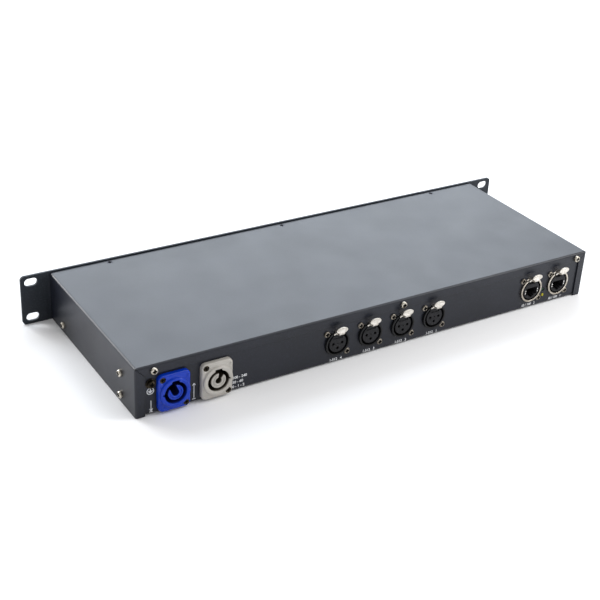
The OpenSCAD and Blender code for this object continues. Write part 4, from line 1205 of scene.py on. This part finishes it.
@dataclass
class SignalSockets(Assembly):
    """The four data sockets and the two network sockets, with latches, screws and lamps; in millimetres."""

    data_places: tuple[float, ...] = DATA_PLACES
    network_places: tuple[float, ...] = NETWORK_PLACES
    height: float = -3.4
    face_y: float = REAR_FACE
    screw_step: float = 9.9
    screw: Screw = Screw(HeadStyle.PAN, head=5.2, rise=1.5, depth=1.1)
    data_latch: Latch = Latch(bore=9.6, rim=10.9)
    network_latch: Latch = Latch(bore=9.9, rim=11.3)
    looks: ClassVar[LookTable] = (
        (Look.BLACK_PLASTIC, numbered("data_socket", 4) + numbered("network_socket", 2)),
        (Look.CARRIER_PLASTIC, numbered("data_insert", 4) + numbered("network_jack", 2)),
        (Look.NICKEL, numbered("network_ring", 2)),
        (Look.CONTACT_METAL, ("data_contacts",)),
        (Look.JACK_METAL, ("network_contacts",)),
        (Look.GREEN_LENS, ("link_lamp",)),
        (Look.YELLOW_LENS, ("activity_lamp",)),
    )

    def fasten(self) -> None:
        """Makes the twelve screws of the sockets."""
        spots = [((x + side * self.screw_step, self.face_y, self.height + side * self.screw_step), BACKWARDS)
                 for x in self.data_places + self.network_places for side in (1, -1)]
        self.shop.screws("socket_screw_set", self.screw, spots, "socket_screws", Look.PLATED_STEEL)

    def fit_latches(self) -> None:
        """Makes the push latch of each socket, each on its own body."""
        groups = (("data_latch", self.data_latch, self.data_places),
                  ("network_latch", self.network_latch, self.network_places))
        for stem, latch, places in groups:
            for body, x in zip(numbered(stem, len(places)), places):
                shaper = Shaper()
                shaper.move((x, self.face_y, self.height))
                latch.add_to(shaper)
                self.shop.stand_in(f"{body}_formed", shaper.done(body), Look.LATCH_NICKEL, body, body)


@dataclass
class InnerWorks(Assembly):
    """Boards, power supply parts and leads inside the case."""

    looks: ClassVar[LookTable] = (
        (Look.BOARD_GREEN, ("main_board", "front_board")),
        (Look.BOARD_TAN, ("psu_board",)),
        (Look.CHIP_BLACK, ("board_chips", "front_switches")),
        (Look.PLATED_STEEL, ("board_spacers", "board_screws")),
        (Look.FERRITE, ("psu_transformer",)),
        (Look.CAPACITOR_SLEEVE, ("psu_capacitors",)),
        (Look.SINK_ALU, ("psu_heatsink",)),
        (Look.FUSE_GLASS, ("fuse",)),
        (Look.CONTACT_METAL, ("fuse_clips",)),
        (Look.LEAD_SHEATH, ("inner_leads",)),
    )


@dataclass
class FrontControls(Assembly):
    """Display window, menu buttons and lamps of the front."""

    looks: ClassVar[LookTable] = (
        (Look.WINDOW_TINT, ("display_window",)),
        (Look.DISPLAY_DARK, ("display_module",)),
        (Look.LAMP_CLEAR, ("front_lamps",)),
        (Look.BUTTON_PLASTIC, numbered("menu_button", 4)),
    )


@dataclass
class PrintedMarks:
    """Plain numbers, the earth sign and the arrows printed on the rear panel; sizes in millimetres."""

    shop: Workshop
    face_y: float = REAR_FACE + 0.02
    ink: float = 0.04
    overprint: float = 0.2
    line: float = 0.5
    digit: float = 2.25
    digit_share: float = 0.7
    boldness: float = 0.05
    smoothness: int = 3
    data_z: float = -18.9
    data_label: str = "1-512"
    network_z: float = -18.4
    network_label: str = "10 / 100"
    earth: Flat = (204.1, -1.4)
    earth_radius: float = 2.9
    earth_count: int = 40
    earth_stem: float = 1.9
    earth_bars: tuple[Flat, ...] = ((0.0, 1.6), (0.75, 1.0), (1.5, 0.4))
    inward: Point = (203.7, -18.6, -8.8)
    outward: Point = (168.7, -18.6, -5.0)
    tail: float = 1.2
    barb: Flat = (1.1, 1.5)
    bar_gap: float = 0.8
    rating_x: float = 136.2
    ratings: tuple[tuple[str, float], ...] = (
        ("100 - 240", -10.2), ("50 - 60", -14.2), ("0 - 1 - 2", -18.1),
    )

    def stroke(self, shaper: Shaper, start: Flat, end: Flat, layer: int = 0) -> None:
        """Prints one straight stroke between two points of the rear panel.

        Args:
            shaper: Mesh that takes the print.
            start: Where it starts, across and up.
            end: Where it ends.
            layer: Number of the layer; each lies a little higher, so that crossing strokes don't coincide.
        """
        way = Vector((end[0] - start[0], end[1] - start[1])).normalized() * (self.line / 2)
        side = Vector((-way.y, way.x))
        corners = (Vector(start) - way + side, Vector(start) - way - side, Vector(end) + way - side,
                   Vector(end) + way + side)
        top = self.face_y + self.ink * (1 + self.overprint * layer)
        shaper.plate([(corner.x, corner.y) for corner in corners], self.face_y, top)

    def number(self, shaper: Shaper, value: str, x: float, z: float, align: str = "CENTER") -> None:
        """Prints a plain number at a point of the rear panel.

        Args:
            shaper: Mesh that takes the print.
            value: The number.
            x: Place across.
            z: Place up.
            align: How the number lies on its place, across.
        """
        text = bpy.data.curves.new("plain_number", "FONT")
        text.body = value
        text.align_x = align
        text.align_y = "CENTER"
        text.size = self.digit / self.digit_share
        text.extrude = self.ink / 2
        text.offset = self.boldness
        text.resolution_u = self.smoothness
        holder = bpy.data.objects.new("plain_number", text)
        bpy.context.scene.collection.objects.link(holder)
        seen = holder.evaluated_get(bpy.context.evaluated_depsgraph_get())
        mesh = bpy.data.meshes.new_from_object(seen)
        turn = Matrix(((-1, 0, 0), (0, 0, 1), (0, 1, 0))).to_4x4()
        place = Matrix.Translation(Vector((x, self.face_y + self.ink / 2, z)) * MM)
        mesh.transform(place @ turn @ Matrix.Scale(MM, 4))
        shaper.mesh.from_mesh(mesh)
        bpy.data.objects.remove(holder)
        bpy.data.meshes.remove(mesh)
        bpy.data.curves.remove(text)

    def earth_sign(self, shaper: Shaper) -> None:
        """Prints the earth sign in its circle.

        Args:
            shaper: Mesh that takes the print.
        """
        x, z = self.earth
        low, high = self.face_y, self.face_y + self.ink
        outer, inner = self.earth_radius, self.earth_radius - self.line
        turns = turns_of(self.earth_count)
        shaper.skin([
            [(x + radius * math.cos(turn), y, z + radius * math.sin(turn)) for turn in turns]
            for radius, y in ((outer, low), (outer, high), (inner, high), (inner, low), (outer, low))
        ], start=False, end=False)
        self.stroke(shaper, (x, z + self.earth_stem), (x, z), 1)
        for layer, (drop, half) in enumerate(self.earth_bars, 2):
            self.stroke(shaper, (x - half, z - drop), (x + half, z - drop), layer)

    def arrow(self, shaper: Shaper, spot: Point, upwards: bool) -> None:
        """Prints an upright arrow with a cross stroke, for current that comes in or goes out.

        Args:
            shaper: Mesh that takes the print.
            spot: Its place across, its lower end and its upper end.
            upwards: Whether the arrow points up.
        """
        x, low, high = spot
        tip, tail, way = (high, low, 1) if upwards else (low, high, -1)
        self.stroke(shaper, (x, tail + way * self.tail), (x, tip))
        for layer, side in enumerate((1, -1), 1):
            self.stroke(shaper, (x, tip), (x + side * self.barb[0], tip - way * self.barb[1]), layer)
        bar = tail if upwards else tip - self.bar_gap
        self.stroke(shaper, (x - self.tail, bar), (x + self.tail, bar))

    def add_all(self) -> None:
        """Prints every mark."""
        shaper = Shaper()
        for label, z, places in ((self.data_label, self.data_z, DATA_PLACES),
                                 (self.network_label, self.network_z, NETWORK_PLACES)):
            for value, x in enumerate(places, 1):
                self.number(shaper, f"{label}   {value}", x, z)
        self.shop.piece("socket_numbers", shaper.done("socket_numbers"), Look.PRINT_WHITE, "chassis")
        shaper = Shaper()
        self.earth_sign(shaper)
        self.arrow(shaper, self.inward, upwards=False)
        self.arrow(shaper, self.outward, upwards=True)
        for value, z in self.ratings:
            self.number(shaper, value, self.rating_x, z, align="LEFT")
        self.shop.piece("panel_signs", shaper.done("panel_signs"), Look.PRINT_WHITE, "chassis")


@dataclass(frozen=True)
class SoftBox:
    """A large soft studio light."""

    name: str
    place: Point
    aim: Point
    width: float
    height: float
    power: float
    colour: Point = (1.0, 1.0, 1.0)

    def hang(self) -> None:
        """Puts the light in the scene."""
        lamp = bpy.data.lights.new(self.name, "AREA")
        lamp.shape = "RECTANGLE"
        lamp.size = self.width
        lamp.size_y = self.height
        lamp.energy = self.power
        lamp.color = self.colour
        holder = bpy.data.objects.new(self.name, lamp)
        holder.location = self.place
        holder.rotation_euler = (Vector(self.aim) - Vector(self.place)).to_track_quat("-Z", "Y").to_euler()
        holder.visible_camera = False
        bpy.context.scene.collection.objects.link(holder)


@dataclass
class Studio:
    """Floor, soft lights and the camera at the photograph's angle."""

    shop: Workshop
    floor_z: float = -0.022
    floor_half: float = 9.0
    floor_squares: int = 8
    azimuth: float = 147.2234
    elevation: float = 28.8066
    roll: float = 3.1656
    focal_pixels: float = 1216.3154
    image_pixels: float = 600.0
    sensor: float = 36.0
    eye: Point = (0.51564, 0.84162, 0.48667)
    nearest: float = 0.01
    farthest: float = 50.0
    world_light: float = 0.6
    boxes: tuple[SoftBox, ...] = (
        SoftBox("overhead_box", (-0.6, 0.75, 1.7), (0.0, 0.17, 0.0), 0.7, 0.5, 4.5),
        SoftBox("front_box", (-0.45, -1.8, 1.45), (0.0, 0.1, 0.0), 3.2, 1.6, 51.0, COOL_WHITE),
        SoftBox("front_right_box", (-1.2, -1.75, 1.15), (0.0, 0.1, 0.0), 2.4, 1.4, 17.0, COOL_WHITE),
        SoftBox("corner_box", (0.9, -1.2, 0.6), (0.22, 0.05, 0.0), 0.8, 0.6, 18.0),
        SoftBox("near_box", (-0.6, 0.5, 0.5), (-0.2, 0.22, -0.02), 0.4, 0.4, 3.3),
    )

    def lay_floor(self) -> None:
        """Lays the plain pale floor under the object."""
        mesh = bpy.data.meshes.new("studio_floor")
        grid = bmesh.new()
        squares = self.floor_squares
        bmesh.ops.create_grid(grid, x_segments=squares, y_segments=squares, size=self.floor_half)
        bmesh.ops.translate(grid, verts=grid.verts, vec=(0.0, 0.0, self.floor_z))
        grid.to_mesh(mesh)
        grid.free()
        floor = bpy.data.objects.new("studio_floor", mesh)
        bpy.context.scene.collection.objects.link(floor)
        floor.data.materials.append(self.shop.material(Look.FLOOR_PAPER))

    def light(self) -> None:
        """Hangs the soft boxes and gives the room an even pale light."""
        for box in self.boxes:
            box.hang()
        world = bpy.data.worlds.new("studio_air")
        world.use_nodes = True
        backdrop = world.node_tree.nodes["Background"]
        backdrop.inputs["Color"].default_value = (1.0, 1.0, 1.0, 1.0)
        backdrop.inputs["Strength"].default_value = self.world_light
        bpy.context.scene.world = world
        bpy.context.scene.view_settings.view_transform = "Standard"

    def set_camera(self) -> None:
        """Puts the camera where the photograph was taken from."""
        side, rise = math.radians(self.azimuth), math.radians(self.elevation)
        back = Vector((math.sin(side) * math.cos(rise), -math.cos(side) * math.cos(rise), math.sin(rise)))
        right = Vector((0.0, 0.0, 1.0)).cross(back).normalized()
        up = back.cross(right)
        cosine, sine = math.cos(math.radians(self.roll)), math.sin(math.radians(self.roll))
        rolled_right = cosine * right + sine * up
        rolled_up = -sine * right + cosine * up
        lens = bpy.data.cameras.new("photo_camera")
        lens.sensor_width = self.sensor
        lens.lens = self.focal_pixels / self.image_pixels * self.sensor
        lens.clip_start = self.nearest
        lens.clip_end = self.farthest
        holder = bpy.data.objects.new("photo_camera", lens)
        turn = Matrix((rolled_right, rolled_up, back)).transposed().to_4x4()
        holder.matrix_world = Matrix.Translation(self.eye) @ turn
        bpy.context.scene.collection.objects.link(holder)
        bpy.context.scene.camera = holder


def main() -> None:
    """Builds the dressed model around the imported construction."""
    logging.basicConfig(level=logging.INFO, format="%(message)s")
    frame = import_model()
    shop = Workshop(frame["nodes"])
    case = Case(shop)
    case.dress()
    case.fasten()
    mains = MainsSockets(shop)
    mains.dress()
    mains.mould()
    mains.fasten()
    signals = SignalSockets(shop)
    signals.dress()
    signals.fasten()
    signals.fit_latches()
    InnerWorks(shop).dress()
    FrontControls(shop).dress()
    PrintedMarks(shop).add_all()
    studio = Studio(shop)
    studio.set_camera()
    studio.lay_floor()
    studio.light()


if __name__ == "__main__":
    main()
